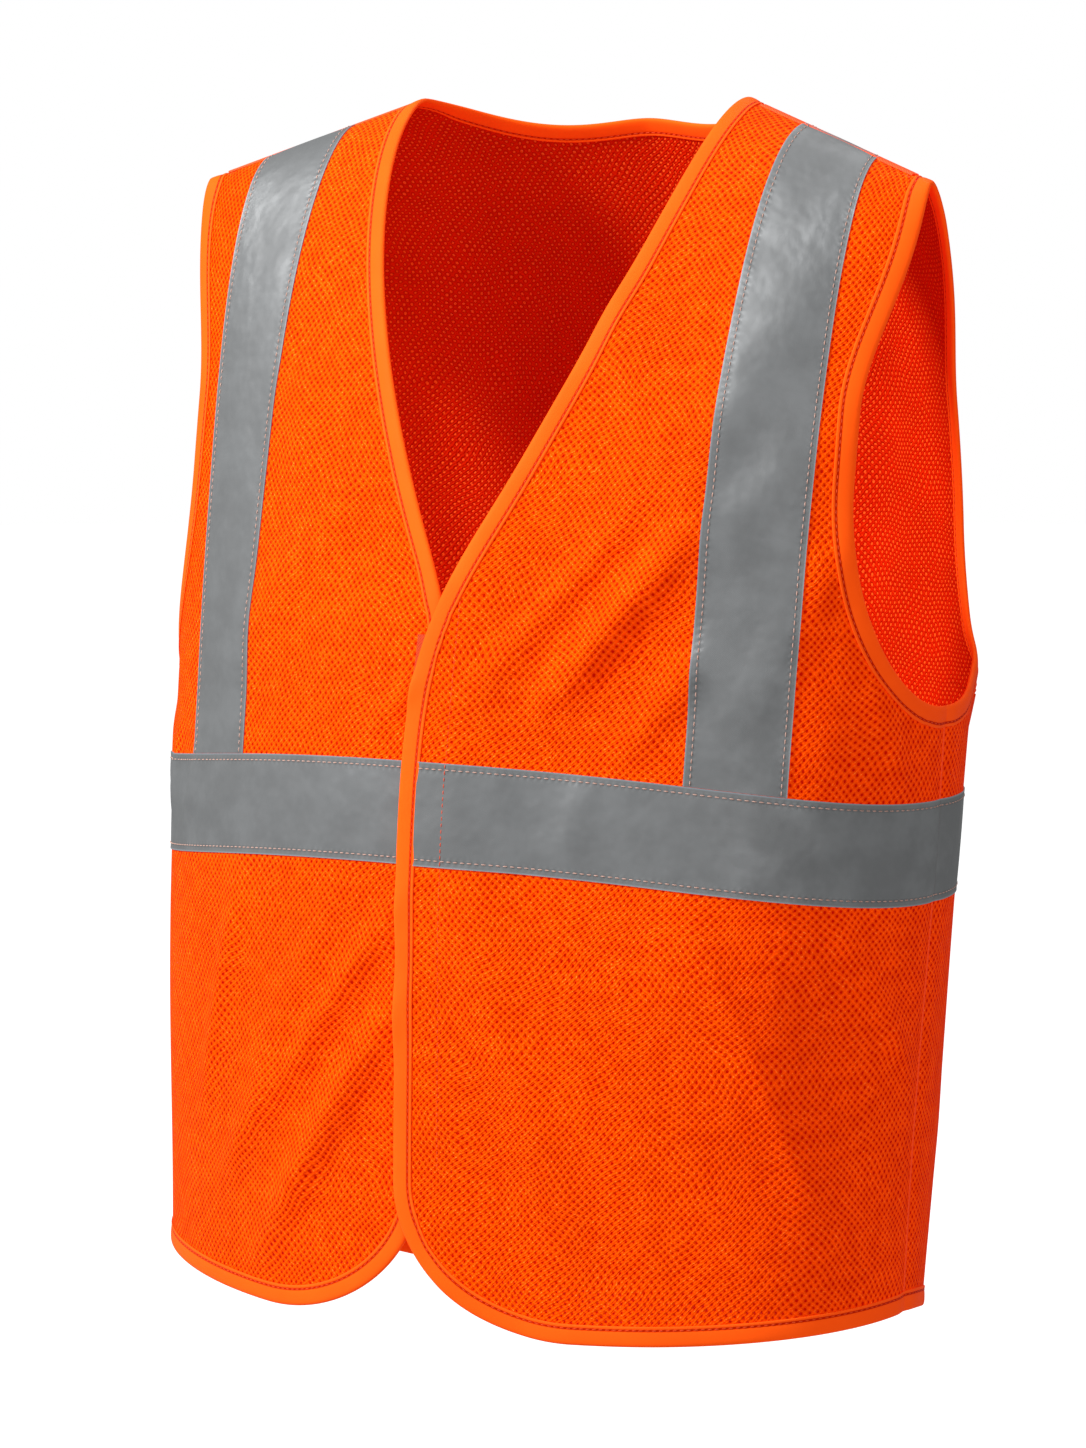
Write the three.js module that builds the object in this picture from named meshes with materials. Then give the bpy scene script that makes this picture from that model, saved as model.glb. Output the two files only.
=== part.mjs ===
// High visibility vest: mesh body, reflective tapes, folded edge bindings and a hook-and-loop front closure.
// Millimetres, +Z up. The front faces -Y and +X is the wearer's left.
// The origin is the middle of the shoulder line, level with the two neck points.
import * as THREE from 'three';

// ---- Driving sizes. "Level" is a height above the side of the hem; above the underarm it is a
// ---- share of the way up to the sloping shoulder line, stretched so that the line is at NECK_LEVEL.
const NECK_LEVEL = 600;              // side of the hem to the neck point
const UNDERARM_LEVEL = 300;          // side of the hem to the underarm
const CHEST_HALF_WIDTH = 218.5;
const CHEST_HALF_DEPTH = 132.5;
const HEM_HALF_WIDTH = 212;
const HEM_HALF_DEPTH = 115;
const HEM_FORWARD = 26;              // how far the hem's middle hangs in front of the chest's
const ROUNDNESS = 2.2;               // exponent of the body's plan outline, 2 is an ellipse
const NECK_HALF_WIDTH = 95;
const SHOULDER_TIP_X = 211;
const SHOULDER_SLOPE = 0.36;         // drop of the shoulder line per millimetre outwards
const NECK_POINT_Y = 24;             // shoulder line at the neck point, behind the chest's middle
const SHOULDER_TIP_Y = -4;
const FRONT_CURVE = 422;             // height over which the cloth turns from shoulder to front
const SIDE_CURVE = 267;
const BACK_CURVE = 190;
const CURVE_POWER = 1.73;
const BACK_NECK_DROP = 35;
const FRONT_HEM_DIP = 11;
const BACK_HEM_DIP = 40;
const CORNER_WIDTH = 95;             // rounded lower front corners
const CORNER_HEIGHT = 75;
const LAP = 12;                      // each front passes the middle by this much
const V_LEVEL = 350;                 // level where the neckline reaches the middle
const V_BOW = 12;
const ARMHOLE_FRONT_X = 193;
const ARMHOLE_BACK_X = 192;
const ARMHOLE_FRONT_TURN = 0.42;     // share of the armhole's height taken by its round bottom
const ARMHOLE_BACK_TURN = 0.32;
const MESH_THICKNESS = 0.8;
const TAPE_WIDTH = 50.8;
const TAPE_THICKNESS = 0.45;
const TAPE_LEVEL = 204;              // lower edge of the waist tape at the sides
const TAPE_RISE = 18;                // and how much higher it runs at the front
const TAPE_TOP_X = 157;              // middle of the shoulder tapes at the shoulder line
const LEFT_TAPE_X = 154;             // and at the waist tape
const RIGHT_TAPE_X = 147;
const BINDING_WIDTH = 9.5;
const BINDING_WALL = 0.5;
const BINDING_FOLD = 0.8;            // thickness of the binding round the cut edge
const STRIP_WIDTH = 24;              // hook strip and loop strip
const STRIP_THICKNESS = 1.2;
const STRIP_LOW = 88;
const STRIP_HIGH = 332;
const FOLD_HEM_X = 107;              // fold lines of the opening fronts
const FOLD_LEAN = 0.21;              // how much they run inwards per millimetre up
const FOLD_LEVEL = 370;              // and the level where they end at the neckline
const OVERLOCK_WIDTH = 8;
const OVERLOCK_THICKNESS = 0.7;
const GAP = 0.4;                     // between layers that touch
const SLOT_GAP = 0.8;                // between the mesh and each wall of the binding round it
const FOLD_GAP = 0.6;                // between a front and the part of it that opens

const HALF_MESH = MESH_THICKNESS / 2;
const BINDING_SLOT = HALF_MESH + SLOT_GAP;
const BINDING_HALF = BINDING_SLOT + BINDING_WALL;
const BINDING_INNER = BINDING_WIDTH - BINDING_FOLD - GAP;
const TAPE_INNER = HALF_MESH + GAP;
const TAPE_OUTER = TAPE_INNER + TAPE_THICKNESS;
const LOOP_INNER = Math.max(TAPE_OUTER, BINDING_HALF) + GAP;
const LOOP_OUTER = LOOP_INNER + STRIP_THICKNESS;
const HOOK_INNER = LOOP_OUTER + GAP;
const HOOK_OUTER = HOOK_INNER + STRIP_THICKNESS;
const LAP_LIFT = HOOK_OUTER + GAP + BINDING_HALF;
const LAP_LIFT_WIDTH = 46;           // the left front is back on the body this far from its edge's lap
const LAP_LIFT_FADE = 70;            // and this far above the crossing of the necklines

const { lerp, clamp, smoothstep } = THREE.MathUtils;
const vector = (x, y, z) => new THREE.Vector3(x, y, z);
const signedPower = (value, exponent) => Math.sign(value) * Math.abs(value) ** exponent;
const HALF_TURN = Math.PI;
const SEAM_ANGLE = Math.PI / 2;

const COLOURS = {
  mesh: { color: 0xff4e0a, roughness: 0.85, metalness: 0 },
  tape: { color: 0x8d9192, roughness: 0.45, metalness: 0.1 },
  binding: { color: 0xff6012, roughness: 0.8, metalness: 0 },
  closure: { color: 0xf25410, roughness: 0.95, metalness: 0 },
  overlock: { color: 0xff5a14, roughness: 0.9, metalness: 0 },
};

// ---- The surface of the cloth: angle 0 is the middle of the front, and a quarter turn the left side.

const shoulderHeight = (x) => NECK_LEVEL - SHOULDER_SLOPE * (Math.hypot(x, 20) - NECK_HALF_WIDTH);
const shoulderY = (x) => {
  const share = (Math.abs(x) - NECK_HALF_WIDTH) / (SHOULDER_TIP_X - NECK_HALF_WIDTH);
  return lerp(NECK_POINT_Y, SHOULDER_TIP_Y, share);
};
const lowerShare = (level) => Math.min(level / UNDERARM_LEVEL, 1);
const halfWidthAt = (level) => lerp(HEM_HALF_WIDTH, CHEST_HALF_WIDTH, lowerShare(level));

function clothPoint(angle, level) {
  const low = lowerShare(level);
  const x = halfWidthAt(level) * signedPower(Math.sin(angle), 2 / ROUNDNESS);
  const depth = lerp(HEM_HALF_DEPTH, CHEST_HALF_DEPTH, low);
  const ringY = -HEM_FORWARD * (1 - low) - depth * signedPower(Math.cos(angle), 2 / ROUNDNESS);
  const top = shoulderHeight(x);
  const rise = (level - UNDERARM_LEVEL) / (NECK_LEVEL - UNDERARM_LEVEL);
  const z = level > UNDERARM_LEVEL ? UNDERARM_LEVEL + rise * (top - UNDERARM_LEVEL) : level;
  const facing = Math.cos(angle);
  const curve = facing > 0 ? lerp(SIDE_CURVE, FRONT_CURVE, facing) : lerp(SIDE_CURVE, BACK_CURVE, -facing);
  const drop = clamp((top - z) / curve, 0, 1);
  const turn = (1 - (1 - drop) ** CURVE_POWER) ** (1 / CURVE_POWER);
  return vector(x, lerp(shoulderY(x), ringY, turn), z);
}

function clothNormal(angle, level) {
  if (level > NECK_LEVEL - 0.01) {
    return vector(SHOULDER_SLOPE * Math.sign(Math.sin(angle)), 0, 1).normalize();
  }
  const step = 0.002;
  const across = clothPoint(angle + step, level).sub(clothPoint(angle - step, level));
  const up = clothPoint(angle, level + 0.2).sub(clothPoint(angle, level - 0.2));
  return across.cross(up).normalize();
}

// The left front lies on the right front, so it stands off the body where they lap.
function lapLift(side, angle, level) {
  if (side !== 'left' || Math.cos(angle) < 0) return 0;
  const x = clothPoint(angle, level).x;
  const across = 1 - smoothstep(x, LAP, LAP + LAP_LIFT_WIDTH);
  return LAP_LIFT * across * (1 - smoothstep(level, V_LEVEL, V_LEVEL + LAP_LIFT_FADE));
}

function offsetPoint(angle, level, offset, side) {
  const point = clothPoint(angle, level);
  if (level > NECK_LEVEL - 0.01) point.y += Math.sign(Math.cos(angle)) * -GAP / 2;
  return point.addScaledVector(clothNormal(angle, level), offset + lapLift(side, angle, level));
}

function angleAt(x, level) {
  const share = clamp(Math.abs(x) / halfWidthAt(level), 0, 1);
  return Math.sign(x) * Math.asin(share ** (ROUNDNESS / 2));
}

// Angle that a length along the body's outline takes up.
function arcAngle(length, angle, level) {
  const step = 0.01;
  return length * 2 * step / clothPoint(angle + step, level).distanceTo(clothPoint(angle - step, level));
}

// ---- Outlines of the cut pieces, on the wearer's left; the right is their mirror.

function neckEdgeX(level) {
  const share = (NECK_LEVEL - level) / (NECK_LEVEL - V_LEVEL);
  const line = NECK_HALF_WIDTH * (1 - share) + 4 * V_BOW * share * (1 - share);
  const softness = 10;
  return -LAP + softness * Math.log1p(Math.exp((line + LAP) / softness));
}

function armholeAngle(level, isBack) {
  const share = clamp((level - UNDERARM_LEVEL) / (NECK_LEVEL - UNDERARM_LEVEL), 0, 1);
  const turnShare = isBack ? ARMHOLE_BACK_TURN : ARMHOLE_FRONT_TURN;
  const narrow = angleAt(isBack ? ARMHOLE_BACK_X : ARMHOLE_FRONT_X, NECK_LEVEL);
  const tip = angleAt(SHOULDER_TIP_X, NECK_LEVEL);
  const bend = Math.sqrt(1 - (1 - Math.min(share / turnShare, 1)) ** 2);
  const angle = lerp(SEAM_ANGLE, narrow, bend) + (tip - narrow) * smoothstep(share, 0.55, 1);
  return isBack ? HALF_TURN - angle : angle;
}

function hemLevel(angle) {
  const facing = Math.cos(angle);
  if (facing < 0) return BACK_HEM_DIP * facing;
  const fromEdge = clothPoint(angle, 0).x + LAP;
  const corner = clamp(1 - fromEdge / CORNER_WIDTH, 0, 1);
  return CORNER_HEIGHT * (1 - Math.sqrt(1 - corner ** 2)) - FRONT_HEM_DIP * facing ** 2;
}

const foldX = (level) => FOLD_HEM_X - FOLD_LEAN * level;
const tapeLow = (angle) => TAPE_LEVEL + TAPE_RISE * Math.max(Math.cos(angle), 0) ** 2;
const tapeHigh = (angle) => tapeLow(angle) + TAPE_WIDTH;

// ---- Shared rows, so that layers bend at the same places.

const LOW_LEVELS = [0, 40, 80, 120, 160, 200, 235, 270, UNDERARM_LEVEL];
const HIGH_SHARES = [0.003, 0.012, 0.025, 0.045, 0.09, 0.15, 0.22, 0.3, 0.38, 0.47, 0.56, 0.65, 0.73, 0.8, 0.86,
  0.91, 0.95, 0.975, 0.992, 1];
const HIGH_LEVELS = HIGH_SHARES.map((share) => lerp(UNDERARM_LEVEL, NECK_LEVEL, share));
const LEVELS = [...LOW_LEVELS, ...HIGH_LEVELS];
const HEM_BLEND = 120;               // the rows are level again this far up from the hem
const ROW_SPACE = 3;

function levelsBetween(low, high) {
  const inner = LEVELS.filter((level) => level > low + ROW_SPACE && level < high - ROW_SPACE);
  return [low, ...inner, high];
}

const fromHem = (level, angle) => level + hemLevel(angle) * Math.max(1 - level / HEM_BLEND, 0);
const evenShares = (count) => Array.from({ length: count + 1 }, (_, index) => index / count);
const EDGE_SHARE = 0.055;            // a column this near each bound edge follows the binding's inner edge
const SIDE_COLUMNS = [0, EDGE_SHARE, ...evenShares(8).slice(1, -1), 1 - EDGE_SHARE, 1];

// ---- Closed solids.

const vest = new THREE.Group();
vest.position.set(0, -NECK_POINT_Y, -NECK_LEVEL);

function addMesh(name, points, triangles, look) {
  const volume = triangles.reduce((sum, [a, b, c]) => (
    sum + points[a].dot(points[b].clone().cross(points[c]))), 0);
  const ordered = volume > 0 ? triangles : triangles.map(([a, b, c]) => [a, c, b]);
  const geometry = new THREE.BufferGeometry().setFromPoints(points);
  geometry.setIndex(ordered.flat());
  geometry.computeVertexNormals();
  const mesh = new THREE.Mesh(geometry, new THREE.MeshStandardMaterial(COLOURS[look]));
  mesh.name = name;
  vest.add(mesh);
}

// Two layers of a grid of points, joined round the border. Cells before the turn column are cut
// along their other diagonal, so that a piece that spans both sides is symmetrical.
function addSheet(name, rows, columns, pointAt, look, turnColumn = 0) {
  const points = [];
  const triangles = [];
  const id = (row, column, layer) => (row * columns.length + column) * 2 + layer;
  for (const row of rows) {
    for (const column of columns) points.push(pointAt(row, column, 0), pointAt(row, column, 1));
  }
  const quad = (a, b, c, d) => triangles.push([a, b, c], [a, c, d]);
  const lastRow = rows.length - 1;
  const lastColumn = columns.length - 1;
  for (let r = 0; r < lastRow; r += 1) {
    for (let c = 0; c < lastColumn; c += 1) {
      for (const layer of [1, 0]) {
        const corners = [id(r, c, layer), id(r, c + 1, layer), id(r + 1, c + 1, layer), id(r + 1, c, layer)];
        if (c < turnColumn) corners.push(corners.shift());
        const [first, second, third, fourth] = corners;
        if (layer === 1) quad(first, second, third, fourth);
        else quad(first, fourth, third, second);
      }
    }
    quad(id(r, 0, 0), id(r, 0, 1), id(r + 1, 0, 1), id(r + 1, 0, 0));
    quad(id(r, lastColumn, 0), id(r + 1, lastColumn, 0), id(r + 1, lastColumn, 1), id(r, lastColumn, 1));
  }
  for (let c = 0; c < lastColumn; c += 1) {
    quad(id(0, c, 0), id(0, c + 1, 0), id(0, c + 1, 1), id(0, c, 1));
    quad(id(lastRow, c, 0), id(lastRow, c, 1), id(lastRow, c + 1, 1), id(lastRow, c + 1, 0));
  }
  addMesh(name, points, triangles, look);
}

// A cross-section carried along stations; each station turns its profile into points.
function addSweep(name, stations, profile, look) {
  const count = profile.length;
  const points = stations.flatMap((station) => profile.map(([across, out]) => station(across, out)));
  const triangles = [];
  for (let s = 0; s < stations.length - 1; s += 1) {
    for (let p = 0; p < count; p += 1) {
      const a = s * count + p;
      const b = s * count + (p + 1) % count;
      triangles.push([a, b, b + count], [a, b + count, a + count]);
    }
  }
  const outline = profile.map(([across, out]) => new THREE.Vector2(across, out));
  const caps = THREE.ShapeUtils.triangulateShape(outline, []);
  const forwards = THREE.ShapeUtils.isClockWise(outline) ? -1 : 1;
  const last = (stations.length - 1) * count;
  for (const [a, b, c] of caps) {
    const [p, q] = forwards > 0 ? [b, c] : [c, b];
    triangles.push([a, q, p], [last + a, last + p, last + q]);
  }
  addMesh(name, points, triangles, look);
}

// ---- Mesh panels.

const mirrored = (side) => (side === 'left' ? 1 : -1);

function bandPoint(side, angle, level, layer, inner, outer) {
  return offsetPoint(mirrored(side) * angle, level, layer ? outer : inner, side);
}

const seamAngle = (level) => SEAM_ANGLE - arcAngle(GAP / 2, SEAM_ANGLE, level);
const outerFrontAngle = (level) => (level > UNDERARM_LEVEL ? armholeAngle(level, false) : seamAngle(level));

function innerFrontAngle(level) {
  if (level > FOLD_LEVEL + FOLD_GAP) return angleAt(neckEdgeX(level), level);
  const fold = angleAt(foldX(level), level);
  return fold + arcAngle(FOLD_GAP / 2, fold, level);
}

function frontPanelLevels() {
  const top = FOLD_LEVEL + 2 * FOLD_GAP;
  return [...levelsBetween(0, FOLD_LEVEL), top, ...LEVELS.filter((level) => level > top + ROW_SPACE)];
}

function addFrontPanels(side) {
  addSheet(`${side}_front_side_panel`, frontPanelLevels(), SIDE_COLUMNS, (row, share, layer) => {
    const angle = lerp(innerFrontAngle(row), outerFrontAngle(row), share);
    return bandPoint(side, angle, fromHem(row, angle), layer, -HALF_MESH, HALF_MESH);
  }, 'mesh');
  addSheet(`${side}_front_opening_panel`, levelsBetween(0, FOLD_LEVEL), evenShares(8), (row, share, layer) => {
    const angle = flapAngle(row, share);
    return bandPoint(side, angle, fromHem(row, angle), layer, -HALF_MESH, HALF_MESH);
  }, 'mesh');
}

// Share 0 is the front edge and 1 the fold; the columns crowd towards the rounded corner.
function flapAngle(level, share) {
  const fold = angleAt(foldX(level), level);
  return lerp(angleAt(neckEdgeX(level), level), fold - arcAngle(FOLD_GAP / 2, fold, level), share ** 1.6);
}

const neckShare = (() => {
  const tip = angleAt(SHOULDER_TIP_X, NECK_LEVEL);
  return (tip - angleAt(NECK_HALF_WIDTH, NECK_LEVEL)) / (2 * tip);
})();
const backShoulderColumns = [0, EDGE_SHARE / 2, ...evenShares(8).slice(1).map((share) => share * neckShare)];
const backNeckColumns = evenShares(12).slice(1, -1).map((share) => (
  lerp(neckShare, 1 - neckShare, (1 - Math.cos(HALF_TURN * share)) / 2)));
const BACK_COLUMNS = [
  ...backShoulderColumns,
  ...backNeckColumns,
  ...backShoulderColumns.map((share) => 1 - share).reverse(),
];

function backAngle(level, share) {
  const edge = level > UNDERARM_LEVEL ? armholeAngle(level, true)
    : SEAM_ANGLE + arcAngle(GAP / 2, SEAM_ANGLE, level);
  return lerp(edge, 2 * HALF_TURN - edge, share);
}

function backNeckDrop(x) {
  return BACK_NECK_DROP * (1 - Math.min(Math.abs(x) / NECK_HALF_WIDTH, 1) ** 2.4);
}

function backPanelLevel(level, angle) {
  const top = NECK_LEVEL - backNeckDrop(clothPoint(angle, NECK_LEVEL).x);
  return fromHem(level * top / NECK_LEVEL, angle);
}

function addBackPanel() {
  addSheet('back_panel', LEVELS, BACK_COLUMNS, (row, share, layer) => {
    const angle = backAngle(row, share);
    return offsetPoint(angle, backPanelLevel(row, angle), layer ? HALF_MESH : -HALF_MESH);
  }, 'mesh', BACK_COLUMNS.length / 2);
}

// ---- Edge bindings: a folded tape with the cut edge of the mesh inside it.

const BINDING_PROFILE = [
  [-GAP - BINDING_FOLD, -BINDING_HALF], [BINDING_INNER, -BINDING_HALF], [BINDING_INNER, -BINDING_SLOT],
  [-GAP, -BINDING_SLOT], [-GAP, BINDING_SLOT], [BINDING_INNER, BINDING_SLOT], [BINDING_INNER, BINDING_HALF],
  [-GAP - BINDING_FOLD, BINDING_HALF],
];

// The point of the cloth that lies a short vector away from the given place on it.
function inwardPoint(angle, level, into, side, place) {
  if (level > NECK_LEVEL - 0.01) {
    const end = clothPoint(angle + Math.sign(Math.sin(angle)) * 0.01 * Math.sign(Math.cos(angle)), level);
    const ridge = end.sub(clothPoint(angle, level)).normalize();
    return place.clone().addScaledVector(ridge, Math.sign(ridge.dot(into)) * BINDING_INNER);
  }
  const step = 0.01;
  const across = clothPoint(angle + step, level).sub(clothPoint(angle - step, level)).divideScalar(2 * step);
  const up = clothPoint(angle, level + step).sub(clothPoint(angle, level - step)).divideScalar(2 * step);
  const skew = across.dot(up);
  const size = across.lengthSq() * up.lengthSq() - skew ** 2;
  const turn = (into.dot(across) * up.lengthSq() - into.dot(up) * skew) / size;
  const rise = (into.dot(up) * across.lengthSq() - into.dot(across) * skew) / size;
  return offsetPoint(angle + turn, Math.min(level + rise, NECK_LEVEL - step), 0, side);
}

// Each path point is an angle and a level; inward turns the path's direction into the cloth.
function addBinding(name, path, inward, side) {
  const sideOf = (angle) => side ?? (angle > 0 ? 'left' : 'right');
  const places = path.map(([angle, level]) => offsetPoint(angle, level, 0, sideOf(angle)));
  const normals = path.map(([angle, level]) => clothNormal(angle, level));
  const inners = path.map(([angle, level], index) => {
    const ahead = places[Math.min(index + 1, path.length - 1)];
    const behind = places[Math.max(index - 1, 0)];
    const along = ahead.clone().sub(behind).normalize();
    const into = normals[index].clone().cross(along).multiplyScalar(inward * BINDING_INNER);
    return inwardPoint(angle, level, into, sideOf(angle), places[index]);
  });
  const stations = path.map((_, index) => (across, out) => (
    places[index].clone()
      .addScaledVector(inners[index].clone().sub(places[index]), across / BINDING_INNER)
      .addScaledVector(normals[index], out)
  ));
  addSweep(name, stations, BINDING_PROFILE, 'binding');
}

function frontEdgePath(side) {
  const hem = evenShares(8).reverse().map((share) => {
    const angle = flapAngle(0, share);
    return [angle, fromHem(0, angle)];
  });
  const edge = levelsBetween(0, FOLD_LEVEL).slice(1).map((level) => {
    const angle = flapAngle(level, 0);
    return [angle, fromHem(level, angle)];
  });
  return [...hem, ...edge].map(([angle, level]) => [mirrored(side) * angle, level]);
}

function sideHemPath(side) {
  return SIDE_COLUMNS.map((share) => {
    const angle = lerp(innerFrontAngle(0), outerFrontAngle(0), share);
    return [mirrored(side) * angle, fromHem(0, angle)];
  });
}

function neckPath() {
  const low = FOLD_LEVEL + 2 * FOLD_GAP;
  const levels = [low, ...LEVELS.filter((level) => level > low + ROW_SPACE && level < NECK_LEVEL)];
  const left = levels.map((level) => [angleAt(neckEdgeX(level), level), level]);
  const right = left.map(([angle, level]) => [-angle, level]).reverse();
  const back = [neckShare, ...backNeckColumns, 1 - neckShare].map((share) => {
    const angle = backAngle(NECK_LEVEL, share);
    return [angle, backPanelLevel(NECK_LEVEL, angle)];
  });
  return [...left, ...back, ...right];
}

function armholePath(side) {
  const levels = LEVELS.filter((level) => level >= UNDERARM_LEVEL && level < NECK_LEVEL);
  const front = levels.map((level) => [outerFrontAngle(level), level]);
  const back = [NECK_LEVEL, ...levels.reverse()].map((level) => [backAngle(level, 0), level]);
  return [...front, ...back].map(([angle, level]) => [mirrored(side) * angle, level]);
}

function addBindings() {
  for (const side of ['left', 'right']) {
    const turn = mirrored(side);
    addBinding(`${side}_front_edge_binding`, frontEdgePath(side), -turn, side);
    addBinding(`${side}_side_hem_binding`, sideHemPath(side), turn, side);
    addBinding(`${side}_armhole_binding`, armholePath(side), turn);
  }
  addBinding('neck_binding', neckPath(), -1);
  const backHem = BACK_COLUMNS.map((share) => {
    const angle = backAngle(0, share);
    return [angle, fromHem(0, angle)];
  });
  addBinding('back_hem_binding', backHem, 1);
}

// ---- Reflective tapes.

// Level of a row of the waist tape where it crosses the fold line.
function foldTapeLevel(row) {
  const middle = TAPE_LEVEL + TAPE_WIDTH / 2;
  const fold = angleAt(foldX(middle), middle);
  return lerp(tapeLow(fold), tapeHigh(fold), row);
}

function addWaistTapes() {
  for (const side of ['left', 'right']) {
    addSheet(`${side}_side_waist_tape`, [0, 0.5, 1], SIDE_COLUMNS, (row, share, layer) => {
      const level = foldTapeLevel(row);
      const angle = lerp(innerFrontAngle(level), outerFrontAngle(level), share);
      return bandPoint(side, angle, lerp(tapeLow(angle), tapeHigh(angle), row), layer, TAPE_INNER, TAPE_OUTER);
    }, 'tape');
    addSheet(`${side}_opening_waist_tape`, [0, 0.5, 1], evenShares(8), (row, share, layer) => {
      const level = foldTapeLevel(row);
      const edge = angleAt(neckEdgeX(level) + BINDING_INNER + 3 * GAP, level);
      const angle = lerp(edge, flapAngle(level, 1), share);
      return bandPoint(side, angle, lerp(tapeLow(angle), tapeHigh(angle), row), layer, TAPE_INNER, TAPE_OUTER);
    }, 'tape');
  }
  addSheet('back_waist_tape', [0, 0.5, 1], BACK_COLUMNS, (row, share, layer) => {
    const angle = backAngle(TAPE_LEVEL, share);
    return offsetPoint(angle, TAPE_LEVEL + TAPE_WIDTH * row, layer ? TAPE_OUTER : TAPE_INNER);
  }, 'tape');
}

function shoulderTapeAngle(level, share, lowX, isBack) {
  const up = clamp((level - TAPE_LEVEL) / (NECK_LEVEL - TAPE_LEVEL), 0, 1);
  const frontAngle = angleAt(lerp(lowX, TAPE_TOP_X, up), level);
  const middle = isBack ? HALF_TURN - frontAngle : frontAngle;
  return middle + arcAngle(TAPE_WIDTH * (share - 0.5), middle, level);
}

function addShoulderTapes() {
  for (const side of ['left', 'right']) {
    const lowX = side === 'left' ? LEFT_TAPE_X : RIGHT_TAPE_X;
    for (const face of ['front', 'back']) {
      const isBack = face === 'back';
      const start = TAPE_LEVEL + TAPE_WIDTH;
      const rows = [start, ...LEVELS.filter((level) => level > start + TAPE_RISE + ROW_SPACE)];
      addSheet(`${side}_${face}_shoulder_tape`, rows, evenShares(4), (row, share, layer) => {
        const angle = shoulderTapeAngle(row, share, lowX, isBack);
        const level = row === start ? tapeHigh(angle) + GAP : row;
        return bandPoint(side, angle, level, layer, TAPE_INNER, TAPE_OUTER);
      }, 'tape');
    }
  }
}

// ---- Hook strip under the left front, loop strip on the right front.

function addStrip(name, inner, outer) {
  addSheet(name, levelsBetween(STRIP_LOW, STRIP_HIGH), evenShares(2), (row, share, layer) => {
    const angle = angleAt(STRIP_WIDTH * (share - 0.5), row);
    return offsetPoint(angle, row, layer ? outer : inner);
  }, 'closure');
}

// ---- Overlocked seam allowances inside the side seams and the shoulder seams.

function addSideOverlock(side) {
  const low = BINDING_WIDTH;
  const high = UNDERARM_LEVEL - BINDING_WIDTH;
  addSheet(`${side}_side_seam_overlock`, levelsBetween(low, high), evenShares(2), (row, share, layer) => {
    const angle = SEAM_ANGLE + arcAngle(OVERLOCK_WIDTH * (share - 0.5), SEAM_ANGLE, row);
    const outer = -HALF_MESH - GAP * 1.5;
    return bandPoint(side, angle, row, layer, outer - OVERLOCK_THICKNESS, outer);
  }, 'overlock');
}

function addShoulderOverlock(side) {
  const start = NECK_HALF_WIDTH + BINDING_WIDTH + GAP;
  const end = SHOULDER_TIP_X - BINDING_WIDTH - GAP;
  const outer = -HALF_MESH - GAP * 1.5;
  const half = OVERLOCK_WIDTH / 2;
  const profile = [[-half, outer], [0, outer], [half, outer], [half, outer - OVERLOCK_THICKNESS],
    [0, outer - OVERLOCK_THICKNESS], [-half, outer - OVERLOCK_THICKNESS]];
  const nextLevel = HIGH_LEVELS[HIGH_LEVELS.length - 2];
  const stations = evenShares(4).map((share) => {
    const front = mirrored(side) * angleAt(lerp(start, end, share), NECK_LEVEL);
    const back = mirrored(side) * HALF_TURN - front;
    const ridge = clothPoint(front, NECK_LEVEL);
    const normal = clothNormal(front, NECK_LEVEL);
    return (across, out) => {
      const next = clothPoint(across < 0 ? front : back, nextLevel);
      const down = next.sub(ridge).normalize();
      return ridge.clone().addScaledVector(down, Math.abs(across)).addScaledVector(normal, out);
    };
  });
  addSweep(`${side}_shoulder_seam_overlock`, stations, profile, 'overlock');
}

addBackPanel();
addFrontPanels('left');
addFrontPanels('right');
addBindings();
addWaistTapes();
addShoulderTapes();
addStrip('loop_strip', LOOP_INNER, LOOP_OUTER);
addStrip('hook_strip', HOOK_INNER, HOOK_OUTER);
for (const side of ['left', 'right']) {
  addSideOverlock(side);
  addShoulderOverlock(side);
}

export default vest;
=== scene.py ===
"""High visibility vest: mesh panels, reflective tapes, folded edge bindings and a closing front.

The cloth is one surface that every layer lies on. A place on it is an angle round the body and a
level up it, in millimetres; the finished pieces are in metres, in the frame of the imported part.
"""
import logging
import math
from dataclasses import dataclass, field
from enum import Enum

import bpy
import numpy as np
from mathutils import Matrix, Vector


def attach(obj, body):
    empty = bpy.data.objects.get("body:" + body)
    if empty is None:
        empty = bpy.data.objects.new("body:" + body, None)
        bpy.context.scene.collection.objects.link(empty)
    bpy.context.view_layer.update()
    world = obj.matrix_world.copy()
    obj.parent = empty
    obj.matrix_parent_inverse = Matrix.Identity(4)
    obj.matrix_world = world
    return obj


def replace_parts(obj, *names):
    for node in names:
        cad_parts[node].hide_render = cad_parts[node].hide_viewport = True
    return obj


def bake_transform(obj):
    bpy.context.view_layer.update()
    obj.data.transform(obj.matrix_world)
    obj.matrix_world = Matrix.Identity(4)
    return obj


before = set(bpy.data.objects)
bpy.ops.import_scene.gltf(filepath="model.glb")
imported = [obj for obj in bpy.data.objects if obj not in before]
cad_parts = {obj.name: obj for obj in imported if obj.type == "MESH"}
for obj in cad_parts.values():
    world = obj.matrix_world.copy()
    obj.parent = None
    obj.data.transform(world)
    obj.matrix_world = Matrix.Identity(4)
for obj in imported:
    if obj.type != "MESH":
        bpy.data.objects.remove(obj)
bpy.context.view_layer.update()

LOG = logging.getLogger("vest")
Array = np.ndarray
Colour = tuple[float, float, float, float]
Value = object

HALF_TURN = math.pi
SEAM_ANGLE = math.pi / 2
UV_NAME = "cloth_mm"
NEAR_RIDGE = 0.01                    # levels this near the top are on the shoulder line
FOLD_DEPTH = 1.9                     # how much deeper the folds hang than their listed heights


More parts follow.
